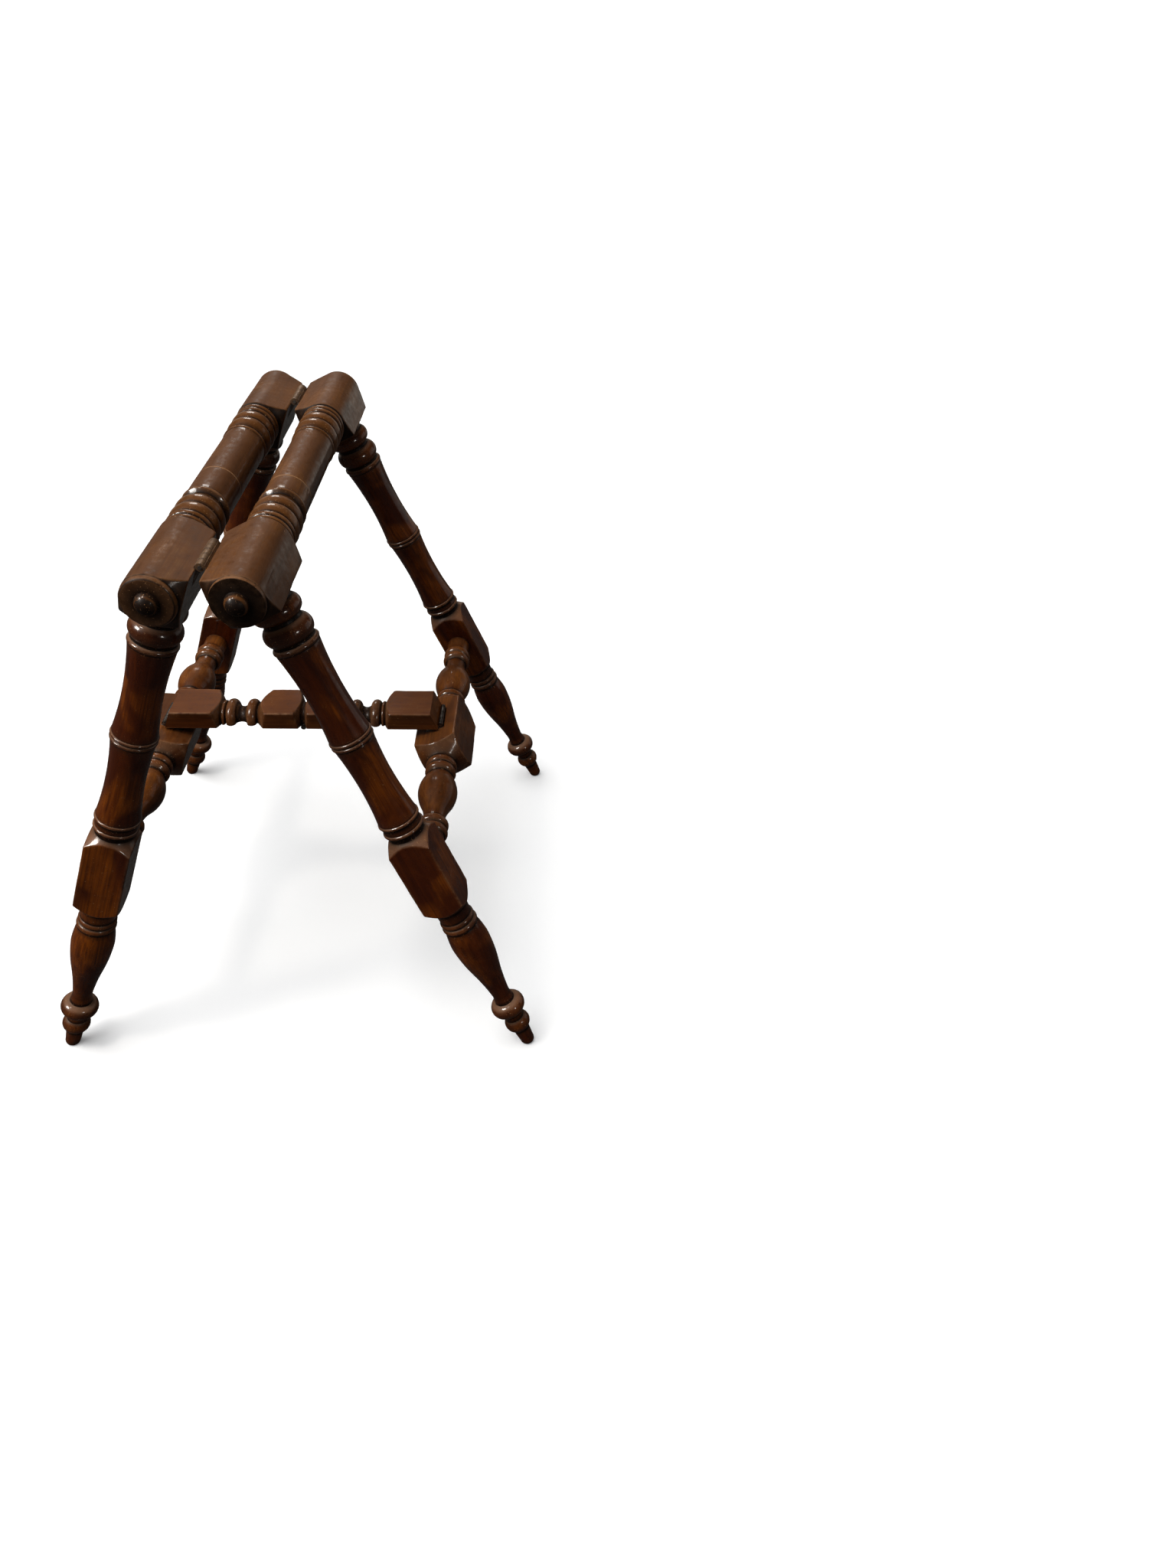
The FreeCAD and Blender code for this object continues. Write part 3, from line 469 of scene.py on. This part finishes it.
def turning(node, body, slot, seed, turn_round, paths, span, faces, origin, axes, rounded=False,
            end_planes=(None, None), carve=None, edge_rings=(), edge_angles=(), scribe=None, block=None,
            plain_span=None):
    """One turned piece from a blank with the given faces, round the last of its axes.

    end_planes are the faces that its ends meet. carve gives the largest radius left by the seats cut
    into it, whose sides are at edge_rings and edge_angles. Where block is given, only that stretch is
    cut off by the blank's square. plain_span is the stretch each side of the middle that isn't finely
    turned.
    """
    corners = section_corners(faces)
    curves = [soft_curve(path) for path in paths]
    rings = ring_stations(curves, span[0], span[1], faces[0], edge_rings)
    angles = ring_angles(corners, edges=edge_angles)
    if rounded:
        corners.pop()
    stations, turns = np.meshgrid(rings, angles, indexing="ij")
    stations = slant_ends(stations, turns, rings, curves, end_planes, span)
    section = section_radius(stations, turns, faces, rounded, seed)
    if block is not None:
        section = np.where((stations > block[0]) & (stations < block[1]), section, BLANK_LEFT_SQUARE)
    radius = smooth_min(profile_at(curves, stations), section, CREASE)
    radius = dented(radius, stations, turns, seed, int((span[1] - span[0]) / KNOCK_SPACING),
                    True)
    uneven = 1 + wander(stations + turns * OUT_OF_ROUND, seed + 3)
    radius = radius - UNEVENNESS * uneven * np.clip(radius / STOUT_RADIUS, 0, 1)
    if carve is not None:
        radius = np.minimum(radius, carve(stations, turns))
    marks = surface_marks(curves, stations, turns, radius, section, faces[0], seed, corners, scribe)
    if plain_span is not None:
        marks["detail"] *= (np.abs(stations) < plain_span[0]) | (np.abs(stations) > plain_span[1])
    local = np.stack([radius * np.cos(turns), radius * np.sin(turns), stations], axis=-1)
    finish_piece(node, body, slot, seed, turn_round, local, local, marks, origin, axes, axes[2])


# ---------------------------------------------------------------- materials

class Graph:
    """A material's node tree, built by calls that return the output of each new node."""

    def __init__(self, name):
        self.material = bpy.data.materials.new(name)
        self.material.use_nodes = True
        self.tree = self.material.node_tree
        self.tree.nodes.clear()

    def set_input(self, node, key, value):
        if isinstance(value, bpy.types.NodeSocket):
            self.tree.links.new(value, node.inputs[key])
        else:
            node.inputs[key].default_value = value

    def node(self, kind, inputs=None, output=0, **settings):
        made = self.tree.nodes.new(kind)
        for key, value in settings.items():
            setattr(made, key, value)
        for key, value in (inputs or {}).items():
            self.set_input(made, key, value)
        return made.outputs[output]

    def mark(self, name, output="Fac"):
        return self.node("ShaderNodeAttribute", attribute_name=name, output=output)

    def math(self, operation, a, b, clamp=False):
        return self.node("ShaderNodeMath", {0: a, 1: b}, operation=operation, use_clamp=clamp)

    def product(self, first, *others):
        for other in others:
            first = self.math("MULTIPLY", first, other)
        return first

    def highest(self, first, *others):
        for other in others:
            first = self.math("MAXIMUM", first, other)
        return first

    def without(self, mask):
        return self.math("SUBTRACT", 1.0, mask)

    def noise(self, vector, scale, detail, roughness, distortion=0.0):
        return self.node("ShaderNodeTexNoise", {"Vector": vector, "Scale": scale, "Detail": detail,
                                                "Roughness": roughness, "Distortion": distortion})

    def ramp(self, value, low, high, to_low=0.0, to_high=1.0):
        return self.node("ShaderNodeMapRange", {"Value": value, "From Min": low, "From Max": high,
                                                "To Min": to_low, "To Max": to_high},
                         interpolation_type="SMOOTHSTEP")

    def mix(self, factor, a, b):
        """One colour mixed into another; each is a socket or three numbers."""
        made = self.tree.nodes.new("ShaderNodeMix")
        made.data_type = "RGBA"
        self.set_input(made, 0, factor)
        for number, colour in ((6, a), (7, b)):
            is_socket = isinstance(colour, bpy.types.NodeSocket)
            self.set_input(made, number, colour if is_socket else (*colour, 1))
        return made.outputs[2]

    def bump(self, height, distance, strength):
        return self.node("ShaderNodeBump", {"Height": height, "Distance": distance, "Strength": strength})

    def finish(self, inputs):
        shader = self.node("ShaderNodeBsdfPrincipled", inputs)
        output = self.tree.nodes.new("ShaderNodeOutputMaterial")
        self.tree.links.new(shader, output.inputs["Surface"])
        return self.material


# Each pattern: how the grain coordinates are stretched, then the noise's scale, detail, roughness and
# distortion.
WOOD_PATTERNS = {
    "figure": ((1000, 1000, 60), 0.13, 5, 0.55, 0.9),
    "streaks": ((1000, 1000, 22), 0.50, 4, 0.55, 0.4),
    "pores": ((1000, 1000, 55), 2.6, 3, 0.5),
    "clouds": ((1000, 1000, 600), 0.022, 3, 0.55, 0.4),
    "rubs": ((1000, 1000, 1000), 0.16, 5, 0.65),
    "specks": ((1000, 1000, 1000), 0.62, 2, 0.5),
    "scratches": ((500, 500, 2600), 0.55, 4, 0.6, 0.8),
}
# The pale edge colour is worn wood on arrises and shoulders and a painted highlight on ring crests. The near-black
# colour is grime with painted shade in grooves, and dark end grain with painted shade on the rail ends.
PALE_EDGE = (0.25, 0.12, 0.055)
NEAR_BLACK = (0.008, 0.004, 0.0025)
BARE_WOOD = (0.42, 0.22, 0.10)


def wood_patterns(graph):
    grain = graph.mark("grain", "Vector")
    patterns = {}
    for name, (stretch, *settings) in WOOD_PATTERNS.items():
        vector = graph.node("ShaderNodeVectorMath", {0: grain, 1: stretch}, operation="MULTIPLY")
        patterns[name] = graph.noise(vector, *settings)
    return patterns


def wood_masks(graph, patterns, dust_and_sheen_amount, ends_up):
    """How far each place is finely turned, dusty with a painted sheen, dirty with painted shade and so on, from 0
    to 1.
    """
    rubs, specks = patterns["rubs"], patterns["specks"]
    turned, faces_up = graph.mark("detail"), graph.mark("dust_and_sheen")
    # Upward faces: dust and a painted sheen.
    dust_and_sheen = graph.product(faces_up, graph.ramp(rubs, 0.30, 0.62, 0.35, 1.0),
                         graph.ramp(turned, 0.0, 1.0, dust_and_sheen_amount, 0.08 * dust_and_sheen_amount))
    # Grooves: grime and painted shade.
    grime_and_shade = graph.product(graph.mark("grime_and_shade"), graph.ramp(rubs, 0.25, 0.5, 0.6, 1.0))
    # End grain: dark end grain, near black on the rail ends with painted shade.
    end_grain = graph.product(graph.mark("end_grain"), graph.ramp(turned, 0.0, 1.0, 1.0, 0.55))
    # For the other pieces the paler end colour is kept to upward faces: worn end grain with painted light.
    if ends_up:
        end_grain = graph.product(end_grain, graph.ramp(faces_up, 0.02, 0.35))
    # Wear on arrises and shoulders, and on crests a painted highlight.
    wear_and_highlight = graph.product(graph.mark("wear_and_highlight"), graph.ramp(rubs, 0.34, 0.60, 0.15, 1.0),
                         graph.ramp(end_grain, 0.0, 1.0, 1.0, 0.25))
    knocked = graph.product(graph.ramp(specks, 0.715, 0.74), graph.ramp(patterns["clouds"], 0.46, 0.58))
    knocked_rings = graph.product(turned, graph.ramp(specks, 0.67, 0.70, 0.0, 0.7))
    scribed = graph.product(graph.mark("scribe"), graph.ramp(rubs, 0.25, 0.5, 0.5, 1.0))
    return {"turned": turned, "faces_up": faces_up, "dust_and_sheen": dust_and_sheen, "grime_and_shade": grime_and_shade,
            "end_grain": end_grain, "wear_and_highlight": wear_and_highlight,
            "chips": graph.highest(knocked, knocked_rings, scribed)}


def wood_coat(graph, patterns, masks, polish, matt):
    """How much varnish is left: less where the dust-and-sheen, grime-and-shade or end grain marks are high, or on
    a plain upper face.
    """
    turned = masks["turned"]
    dull = graph.math("MULTIPLY", masks["dust_and_sheen"], 1.35, clamp=True)
    dry = graph.highest(masks["grime_and_shade"],
                        graph.product(masks["end_grain"], graph.ramp(turned, 0.0, 1.0, 1.0, 0.1)))
    matt_top = graph.product(graph.ramp(masks["faces_up"], 0.2, 0.6),
                             graph.ramp(turned, 0.0, 1.0, matt, 0.0))
    return graph.product(graph.without(dull), graph.ramp(patterns["rubs"], 0.25, 0.6, 1.0, 0.55),
                         graph.without(dry), polish, graph.without(matt_top))


def wood(name, deep, body, amber, rings, dust_and_sheen_tint, dust_and_sheen_amount, gloss, polish, matt, ends, ends_up):
    """Old stained and varnished hardwood, with its grain along the piece and painted sheen, shade and highlights
    in its colour.
    """
    graph = Graph(name)
    patterns = wood_patterns(graph)
    masks = wood_masks(graph, patterns, dust_and_sheen_amount, ends_up)
    dark_lines = graph.ramp(patterns["pores"], 0.60, 0.76, 0.0, 0.22)

    colour = graph.mix(graph.ramp(patterns["figure"], 0.20, 0.80), deep, body)
    glow = graph.product(graph.ramp(patterns["streaks"], 0.15, 0.85),
                         graph.ramp(patterns["clouds"], 0.43, 0.64))
    colour = graph.mix(glow, colour, amber)
    colour = graph.mix(dark_lines, colour, deep)
    # Colour layers: the upward tint is dust with a painted sheen, the groove black grime with painted shade, the
    # rail ends' black end grain with painted shade, the paler upward ends painted light, the pale edge wear with
    # painted crest highlights.
    for mask, amount, tint in (("turned", 0.5, rings), ("dust_and_sheen", 1.0, dust_and_sheen_tint), ("grime_and_shade", 0.95, NEAR_BLACK),
                               ("end_grain", 0.96, ends), ("wear_and_highlight", 0.6, PALE_EDGE),
                               ("chips", 0.7, BARE_WOOD)):
        colour = graph.mix(graph.product(masks[mask], amount), colour, tint)

    rough = graph.ramp(patterns["rubs"], 0.3, 0.7, gloss - 0.05, gloss + 0.10)
    for mask, amount in (("dust_and_sheen", 0.25), ("wear_and_highlight", 0.10), ("grime_and_shade", 0.10)):
        rough = graph.math("ADD", rough, graph.product(masks[mask], amount))
    rough = graph.math("MINIMUM", rough, 0.85)

    height = graph.math("SUBTRACT", graph.product(patterns["streaks"], 0.35),
                        graph.product(dark_lines, 0.8))
    height = graph.math("ADD", height, graph.product(patterns["scratches"], 0.5))
    return graph.finish({"Base Color": colour, "Roughness": rough, "IOR": 1.5,
                         "Normal": graph.bump(height, 0.00012, 0.6), "Specular IOR Level": 0.1,
                         "Coat Weight": wood_coat(graph, patterns, masks, polish, matt),
                         "Coat Roughness": 0.11})


def metal(name, bright, dull, dirt, roughness, metallic=1.0):
    """Old hardware: a rubbed metal with tarnish in patches and grit in its hollows."""
    graph = Graph(name)
    place = graph.node("ShaderNodeTexCoord", output="Object")
    patches = graph.noise(place, 140, 5, 0.6, 0.4)
    grit = graph.noise(place, 900, 3, 0.6)
    colour = graph.mix(graph.ramp(patches, 0.38, 0.62), bright, dull)
    colour = graph.mix(graph.ramp(grit, 0.56, 0.70, 0.0, 0.8), colour, dirt)
    rough = graph.ramp(patches, 0.3, 0.7, roughness - 0.08, roughness + 0.15)
    height = graph.math("ADD", graph.product(grit, 0.7), patches)
    return graph.finish({"Base Color": colour, "Roughness": rough, "Metallic": metallic,
                         "Normal": graph.bump(height, 0.00015, 0.5)})


def plain(name, colour, emission=0.0):
    """A flat colour that may glow by itself."""
    graph = Graph(name)
    inputs = {"Base Color": (*colour, 1), "Roughness": 0.9, "Specular IOR Level": 0.0}
    if emission:
        inputs.update({"Emission Color": (*colour, 1), "Emission Strength": emission})
    return graph.finish(inputs)


# The upward tint is dust with a painted sheen. The end colour is near black with painted shade on the rails, and
# on the other pieces paler and kept to upward faces as painted light.
WOOD_LOOKS = {
    "rail_wood": dict(
        deep=(0.040, 0.014, 0.004), body=(0.100, 0.034, 0.009), amber=(0.19, 0.070, 0.014),
        rings=(0.13, 0.044, 0.008), dust_and_sheen_tint=(0.108, 0.046, 0.020), ends=NEAR_BLACK, ends_up=False,
        dust_and_sheen_amount=0.75, gloss=0.36, polish=1.0, matt=1.0),
    "leg_wood": dict(
        deep=(0.030, 0.0040, 0.0006), body=(0.084, 0.0140, 0.0012), amber=(0.28, 0.066, 0.0025),
        rings=(0.050, 0.015, 0.005), dust_and_sheen_tint=(0.105, 0.040, 0.015), ends=(0.28, 0.15, 0.085), ends_up=True,
        dust_and_sheen_amount=0.18, gloss=0.30, polish=0.9, matt=0.3),
    "stretcher_wood": dict(
        deep=(0.030, 0.008, 0.0020), body=(0.105, 0.027, 0.004), amber=(0.24, 0.070, 0.008),
        rings=(0.100, 0.026, 0.005), dust_and_sheen_tint=(0.110, 0.042, 0.014), ends=(0.16, 0.08, 0.04), ends_up=True,
        dust_and_sheen_amount=0.45, gloss=0.32, polish=0.8, matt=0.5),
    "stay_wood": dict(
        deep=(0.036, 0.009, 0.002), body=(0.098, 0.024, 0.004), amber=(0.18, 0.054, 0.009),
        rings=(0.075, 0.026, 0.008), dust_and_sheen_tint=(0.118, 0.041, 0.015), ends=(0.10, 0.04, 0.014), ends_up=True,
        dust_and_sheen_amount=0.7, gloss=0.34, polish=0.7, matt=1.0),
}
METAL_LOOKS = {
    "top_hinge_brass": dict(bright=(0.155, 0.082, 0.036), dull=(0.085, 0.043, 0.019),
                            dirt=(0.03, 0.016, 0.008), roughness=0.55, metallic=0.2),
    "stay_hinge_iron": dict(bright=(0.16, 0.145, 0.13), dull=(0.07, 0.058, 0.05),
                            dirt=(0.06, 0.03, 0.015), roughness=0.48),
    "hinge_pin": dict(bright=(0.30, 0.27, 0.24), dull=(0.12, 0.10, 0.085),
                      dirt=(0.05, 0.03, 0.02), roughness=0.42),
    "screw_brass": dict(bright=(0.46, 0.31, 0.15), dull=(0.22, 0.14, 0.075),
                        dirt=(0.04, 0.025, 0.015), roughness=0.40),
    "screw_steel": dict(bright=(0.34, 0.32, 0.30), dull=(0.13, 0.115, 0.10),
                        dirt=(0.06, 0.035, 0.02), roughness=0.42),
}
MATERIALS = {slot: wood(slot, **look) for slot, look in WOOD_LOOKS.items()}
MATERIALS.update({slot: metal(slot, **look) for slot, look in METAL_LOOKS.items()})

# ---------------------------------------------------------------- the wooden pieces

SIDES = (("left", True), ("right", False))


def rail_carving(leaf_depth=1.7, leaf_width=21.0, hinge_half=24.0, barrel=4.3, pin_end=1.2):
    """The shallow seat of each top hinge leaf and the groove of its barrel, as a largest radius.

    With it come the stations and the directions of their edges.
    """
    pin = (TOP_PIN - RAIL_CENTRE) / MM
    centre = np.array([pin.dot(ACROSS), pin.dot(DOWN)])
    leaf_edge = -(centre[1] + leaf_width)
    seat_face = RAIL_HALF - leaf_depth

    def largest(stations, angles):
        cos, sin = np.cos(angles), np.sin(angles)
        limit = np.full(stations.shape, BLANK_LEFT_SQUARE)
        away = np.abs(np.abs(stations) - TOP_HINGE_STATION)
        inner = (cos < -1e-3) & (sin < -1e-3)
        seat = np.maximum(seat_face / np.maximum(-cos, 1e-3), leaf_edge / np.maximum(-sin, 1e-3))
        limit = np.where(inner & (away < hinge_half), np.minimum(limit, seat), limit)
        reach = centre[0] * cos + centre[1] * sin
        spread = reach ** 2 - (centre @ centre - barrel ** 2)
        groove = reach - np.sqrt(np.maximum(spread, 0))
        hit = (spread > 0) & (reach > 0) & (away < hinge_half + pin_end)
        return np.where(hit, np.minimum(limit, groove), limit)

    edge_rings = [side * (TOP_HINGE_STATION + shift) for side in (-1, 1)
                  for shift in (-hinge_half - pin_end, -hinge_half, hinge_half, hinge_half + pin_end)]
    edge_angles = [180 + math.degrees(math.atan2(leaf_edge, face)) for face in (RAIL_HALF, seat_face)]
    return largest, edge_rings, edge_angles


def build_rails():
    carve, edge_rings, edge_angles = rail_carving()
    for seed, (side, turn_round) in zip((11, 12), SIDES):
        scribe = -SCRIBES[side] if turn_round else SCRIBES[side]
        line = [(BARREL, scribe - SCRIBE_HALF), (BARREL - SCRIBE_DEPTH, scribe),
                (BARREL, scribe + SCRIBE_HALF)]
        paths = [mirrored(RAIL_BUTTON), mirrored(RAIL_GROUP) + line + RAIL_GROUP, RAIL_BUTTON]
        turning(f"top_rail_{side}", f"frame_{side}", "rail_wood", seed, turn_round, paths,
                (-RAIL_TIP, RAIL_TIP), (RAIL_ROUND, RAIL_HALF, RAIL_HALF, RAIL_ROUND), RAIL_CENTRE,
                FRAME_AXES, rounded=True, carve=carve, edge_rings=edge_rings, edge_angles=edge_angles,
                scribe=scribe, plain_span=(RAIL_GROUP_END, BUTTON_NECK))


def build_legs(sunk=0.4, slanted=6.0):
    """Each leg hangs from its rail's axis; its shoulder is sunk a little into the rail's underside."""
    tip = LEG_LOWER[-1][1]
    shoulder = RAIL_HALF / math.cos(SPLAY)
    for side, turn_round in SIDES:
        for end, outward in (("front", -1), ("back", 1)):
            sign = -outward if turn_round else outward
            axis = DOWN * math.cos(SPLAY) + ALONG * (sign * math.sin(SPLAY))
            square = axis.cross(ACROSS)
            underside = (np.array([0, 0, shoulder - sunk]),
                         np.array([0, DOWN.dot(square), DOWN.dot(axis)]), slanted)
            turning(f"leg_{end}_{side}", f"frame_{side}", "leg_wood", 21 + sign + 2 * turn_round,
                    turn_round, [LEG_UPPER, LEG_LOWER], (shoulder, tip), square_faces(LEG_HALF),
                    RAIL_CENTRE + ALONG * (sign * LEG_STATION * MM), (ACROSS, square, axis),
                    end_planes=(underside, None), block=LEG_BLOCK)


def build_stretchers(leaf_depth=1.5, leaf_width=21.0, lip=2.5, hinge_half=20.0, sunk=0.5, slanted=20.0):
    """Each stretcher is sunk a little into its two splayed legs and has a seat for its hinge leaf."""
    drop = (STRETCHER_CENTRE - RAIL_CENTRE).length / MM
    leg_at = LEG_STATION + drop * math.tan(SPLAY)
    face_y, face_z = LEG_HALF * math.sin(SPLAY), leg_at - LEG_HALF * math.cos(SPLAY)
    pin_across = (END_PIN - STRETCHER_CENTRE).dot(ACROSS) / MM
    seat_face = STRETCHER_HALF - leaf_depth
    seat_sides = (pin_across - leaf_width, pin_across + lip)
    end_planes = [(np.array([0, face_y, sign * (face_z + sunk)]),
                   np.array([0, math.sin(SPLAY), -sign * math.cos(SPLAY)]), slanted) for sign in (-1, 1)]

    def carve(stations, angles):
        cos, sin = np.cos(angles), np.sin(angles)
        depth = seat_face / np.maximum(-sin, 1e-3)
        across = depth * cos
        seated = (sin < 0) & (across > seat_sides[0]) & (across < seat_sides[1])
        return np.where(seated & (np.abs(stations) < hinge_half), depth, BLANK_LEFT_SQUARE)

    edge_angles = [math.degrees(math.atan2(-depth, edge)) % 360 for edge in seat_sides
                   for depth in (seat_face - EDGE_GAP, seat_face + EDGE_GAP)]
    for seed, (side, turn_round) in zip((31, 32), SIDES):
        turning(f"side_stretcher_{side}", f"frame_{side}", "stretcher_wood", seed, turn_round,
                [mirrored(STRETCHER_GROUP), STRETCHER_GROUP], (-face_z, face_z),
                square_faces(STRETCHER_HALF), STRETCHER_CENTRE, FRAME_AXES, end_planes=end_planes,
                carve=carve, edge_rings=(-hinge_half, hinge_half), edge_angles=edge_angles)


def stay_underside(curves, rings, inner_seat, leaf_depth, leaf_width, hinge_half):
    """The flat underside of a stay, let in for the hinge leaves, and the wear along its two rims."""
    step = hinge_half / STAY_HALF
    under = np.array([-0.997, -0.985, -0.95, -0.87, -step - 1e-3, -step + 1e-3, -0.6, -0.4, -0.2, 0])
    under = np.concatenate([under, -under[-2::-1]])
    across = under * np.minimum(profile_at(curves, rings), STAY_HALF)[:, None]
    let_in = (np.abs(across) < hinge_half) & ((rings < leaf_width) | (rings > inner_seat))[:, None]
    flat = np.stack([rings[:, None] + 0 * across, across, np.where(let_in, leaf_depth, 0.0)], axis=-1)
    return flat, np.exp(-((1 - np.abs(under)) / 0.03) ** 2) * 0.6 + 0 * across


def build_stays(leaf_depth=1.5, leaf_width=21.0, hinge_half=20.0, gap=0.25, slanted=45, rim=2.5,
                ring_half=20.0, wear_half=22.0, knocks=12):
    """Split turnings: the upper half of a turned bar, flat underneath and let in for the hinge leaves.

    The last slanted mm lean more and more with the stretcher. The turned half stops rim degrees short
    of the flat on each side. ring_half and wear_half are the bar's size for its rings and its wear.
    """
    curves = [soft_curve(STAY_NOSE), soft_curve(STAY_NECK)]
    inner_seat = END_PIN.x / MM - leaf_width
    slope = ACROSS.z / ACROSS.x
    corner = math.degrees(math.atan2(STAY_THICKNESS, STAY_HALF))
    corners = (corner, 180 - corner)
    rings = ring_stations(curves, gap, STAY_TIP, ring_half, (leaf_width, inner_seat))
    stations, turns = np.meshgrid(rings, ring_angles(corners, rim, 180 - rim), indexing="ij")
    flat, rim_wear = stay_underside(curves, rings, inner_seat, leaf_depth, leaf_width, hinge_half)
    faces = (STAY_HALF, STAY_HALF, STAY_THICKNESS, STAY_THICKNESS)
    axes = (Vector((1, 0, 0)), ALONG, Vector((0, 0, 1)))
    for seed, (side, turn_round) in zip((41, 42), SIDES):
        section = section_radius(stations, turns, faces, False, seed)
        radius = smooth_min(profile_at(curves, stations), section, CREASE)
        radius = dented(radius, stations, turns, seed, knocks, False)
        radius = radius - STAY_UNEVENNESS * (1 + wander(stations + turns * OUT_OF_ROUND, seed + 3))
        marks = surface_marks(curves, stations, turns, radius, section, wear_half, seed, corners)
        for mark, values in marks.items():
            marks[mark] = np.concatenate([values, rim_wear if mark == "wear_and_highlight" else 0 * rim_wear], axis=1)
        upper = np.stack([stations, radius * np.cos(turns), radius * np.sin(turns)], axis=-1)
        local = np.concatenate([upper, flat], axis=1)
        fade = np.clip((local[..., 0] - (STAY_TIP - slanted)) / slanted, 0, 1)
        local[..., 0] -= local[..., 2] * slope * fade
        finish_piece(f"cross_stay_{side}", f"stay_{side}", "stay_wood", seed, turn_round, local,
                     local[..., [1, 2, 0]], marks, Vector((0, 0, STAY_UNDERSIDE)), axes, axes[0])


build_rails()
build_legs()
build_stretchers()
build_stays()

# ---------------------------------------------------------------- hinges, pins and screws

for part in frame["record"]["subparts"]:
    if part["material_slot"] in METAL_LOOKS:
        slots = frame["nodes"][part["node"]].data.materials
        slots.clear()
        slots.append(MATERIALS[part["material_slot"]])

# ---------------------------------------------------------------- floor

FLOOR_HALF = 40.0


def add_sheet(name, height, material):
    """A level square of the floor's size."""
    mesh = bpy.data.meshes.new(name)
    corners = [(x * FLOOR_HALF, y * FLOOR_HALF, height) for x, y in ((-1, -1), (1, -1), (1, 1), (-1, 1))]
    mesh.from_pydata(corners, [], [(0, 1, 2, 3)])
    mesh.materials.append(material)
    sheet = add_object(name, mesh)
    return sheet


hide_from(add_sheet("floor", 0.0, plain("floor_white", (0.95, 0.95, 0.95), 0.17)), "diffuse", "glossy")
hide_from(add_sheet("floor_in_reflections", -0.0005, plain("floor_grey", (0.085, 0.08, 0.075))), "camera")

# ---------------------------------------------------------------- lights

world = bpy.data.worlds.new("studio")
bpy.context.scene.world = world
world.use_nodes = True
background = world.node_tree.nodes["Background"]
background.inputs["Color"].default_value = (0.9, 0.95, 1.0, 1)
background.inputs["Strength"].default_value = 0.02


def add_light(name, kind, energy, place, target=(0, 0, 0.45), colour=(1, 1, 1), **settings):
    """A light at place that points at target."""
    data = bpy.data.lights.new(name, kind)
    data.energy = energy
    data.color = colour
    for key, value in settings.items():
        setattr(data, key, value)
    lamp = add_object(name, data)
    lamp.location = place
    lamp.rotation_euler = (Vector(target) - Vector(place)).to_track_quat("-Z", "Y").to_euler()
    return lamp


# The suns give shading without sheen, the ceiling lamp gives both and the other lamps only sheen.
for name, strength, place, spread in (("soft_sky", 3.45, (-0.8, -0.1, 2.3), 70),
                                      ("fill", 0.3, (-1.2, -1.6, 1.2), 90),
                                      ("right_fill", 0.28, (2.2, 0.2, 1.1), 60)):
    hide_from(add_light(name, "SUN", strength, place, angle=math.radians(spread)), "glossy")
add_light("ceiling_lamp", "AREA", 7, (-0.65, -0.50, 2.3), size=0.30, shape="DISK", colour=(1, 0.94, 0.86))
for name, energy, place, size in (("window", 70, (-1.50, -0.80, 2.0), 0.70),
                                  ("back_window", 14, (-0.5, 2.3, 2.0), 0.7),
                                  ("low_lamp", 7, (1.6, -1.5, 1.2), 0.3),
                                  ("side_glow", 3.5, (2.2, 0.9, 0.9), 1.6)):
    hide_from(add_light(name, "AREA", energy, place, size=size, shape="SQUARE", colour=(1, 0.97, 0.92)),
              "diffuse")
hide_from(add_light("pale_wall", "AREA", 9, (0, 3.0, 0.5), target=(0, -5, 0.5), colour=(1, 0.88, 0.76),
                    shape="RECTANGLE", size=8, size_y=1.0), "diffuse")

# ---------------------------------------------------------------- backdrop


def add_backdrop(radius=48):
    """A white ball round everything, seen by the camera only."""
    mesh = bpy.data.meshes.new("backdrop")
    ball = bmesh.new()
    bmesh.ops.create_uvsphere(ball, u_segments=48, v_segments=24, radius=radius)
    ball.to_mesh(mesh)
    ball.free()
    mesh.materials.append(plain("backdrop_white", (1, 1, 1), 1.0))
    backdrop = add_object("backdrop", mesh)
    hide_from(backdrop, "diffuse", "glossy", "transmission", "shadow")


add_backdrop()

# ---------------------------------------------------------------- camera

CAMERA_PLACE = Vector((0.30257, -1.02387, 1.03450))
YAW, PITCH, ROLL = math.radians(-2.458), math.radians(-39.453), math.radians(1.852)


def add_camera():
    """The camera of the photograph: turned by YAW from +Y, raised by PITCH and tilted by ROLL."""
    forward = Vector((-math.sin(YAW) * math.cos(PITCH), math.cos(YAW) * math.cos(PITCH), math.sin(PITCH)))
    level = Vector((math.cos(YAW), math.sin(YAW), 0))
    upright = level.cross(forward)
    right = level * math.cos(ROLL) + upright * math.sin(ROLL)
    up = upright * math.cos(ROLL) - level * math.sin(ROLL)
    data = bpy.data.cameras.new("camera")
    data.lens = 23.501
    data.sensor_width = 36
    data.clip_end = 500
    camera = add_object("camera", data)
    heading = Matrix((right, up, -forward)).transposed().to_4x4()
    camera.matrix_world = Matrix.Translation(CAMERA_PLACE) @ heading
    bpy.context.scene.camera = camera


add_camera()
bpy.context.scene.view_settings.view_transform = "Standard"
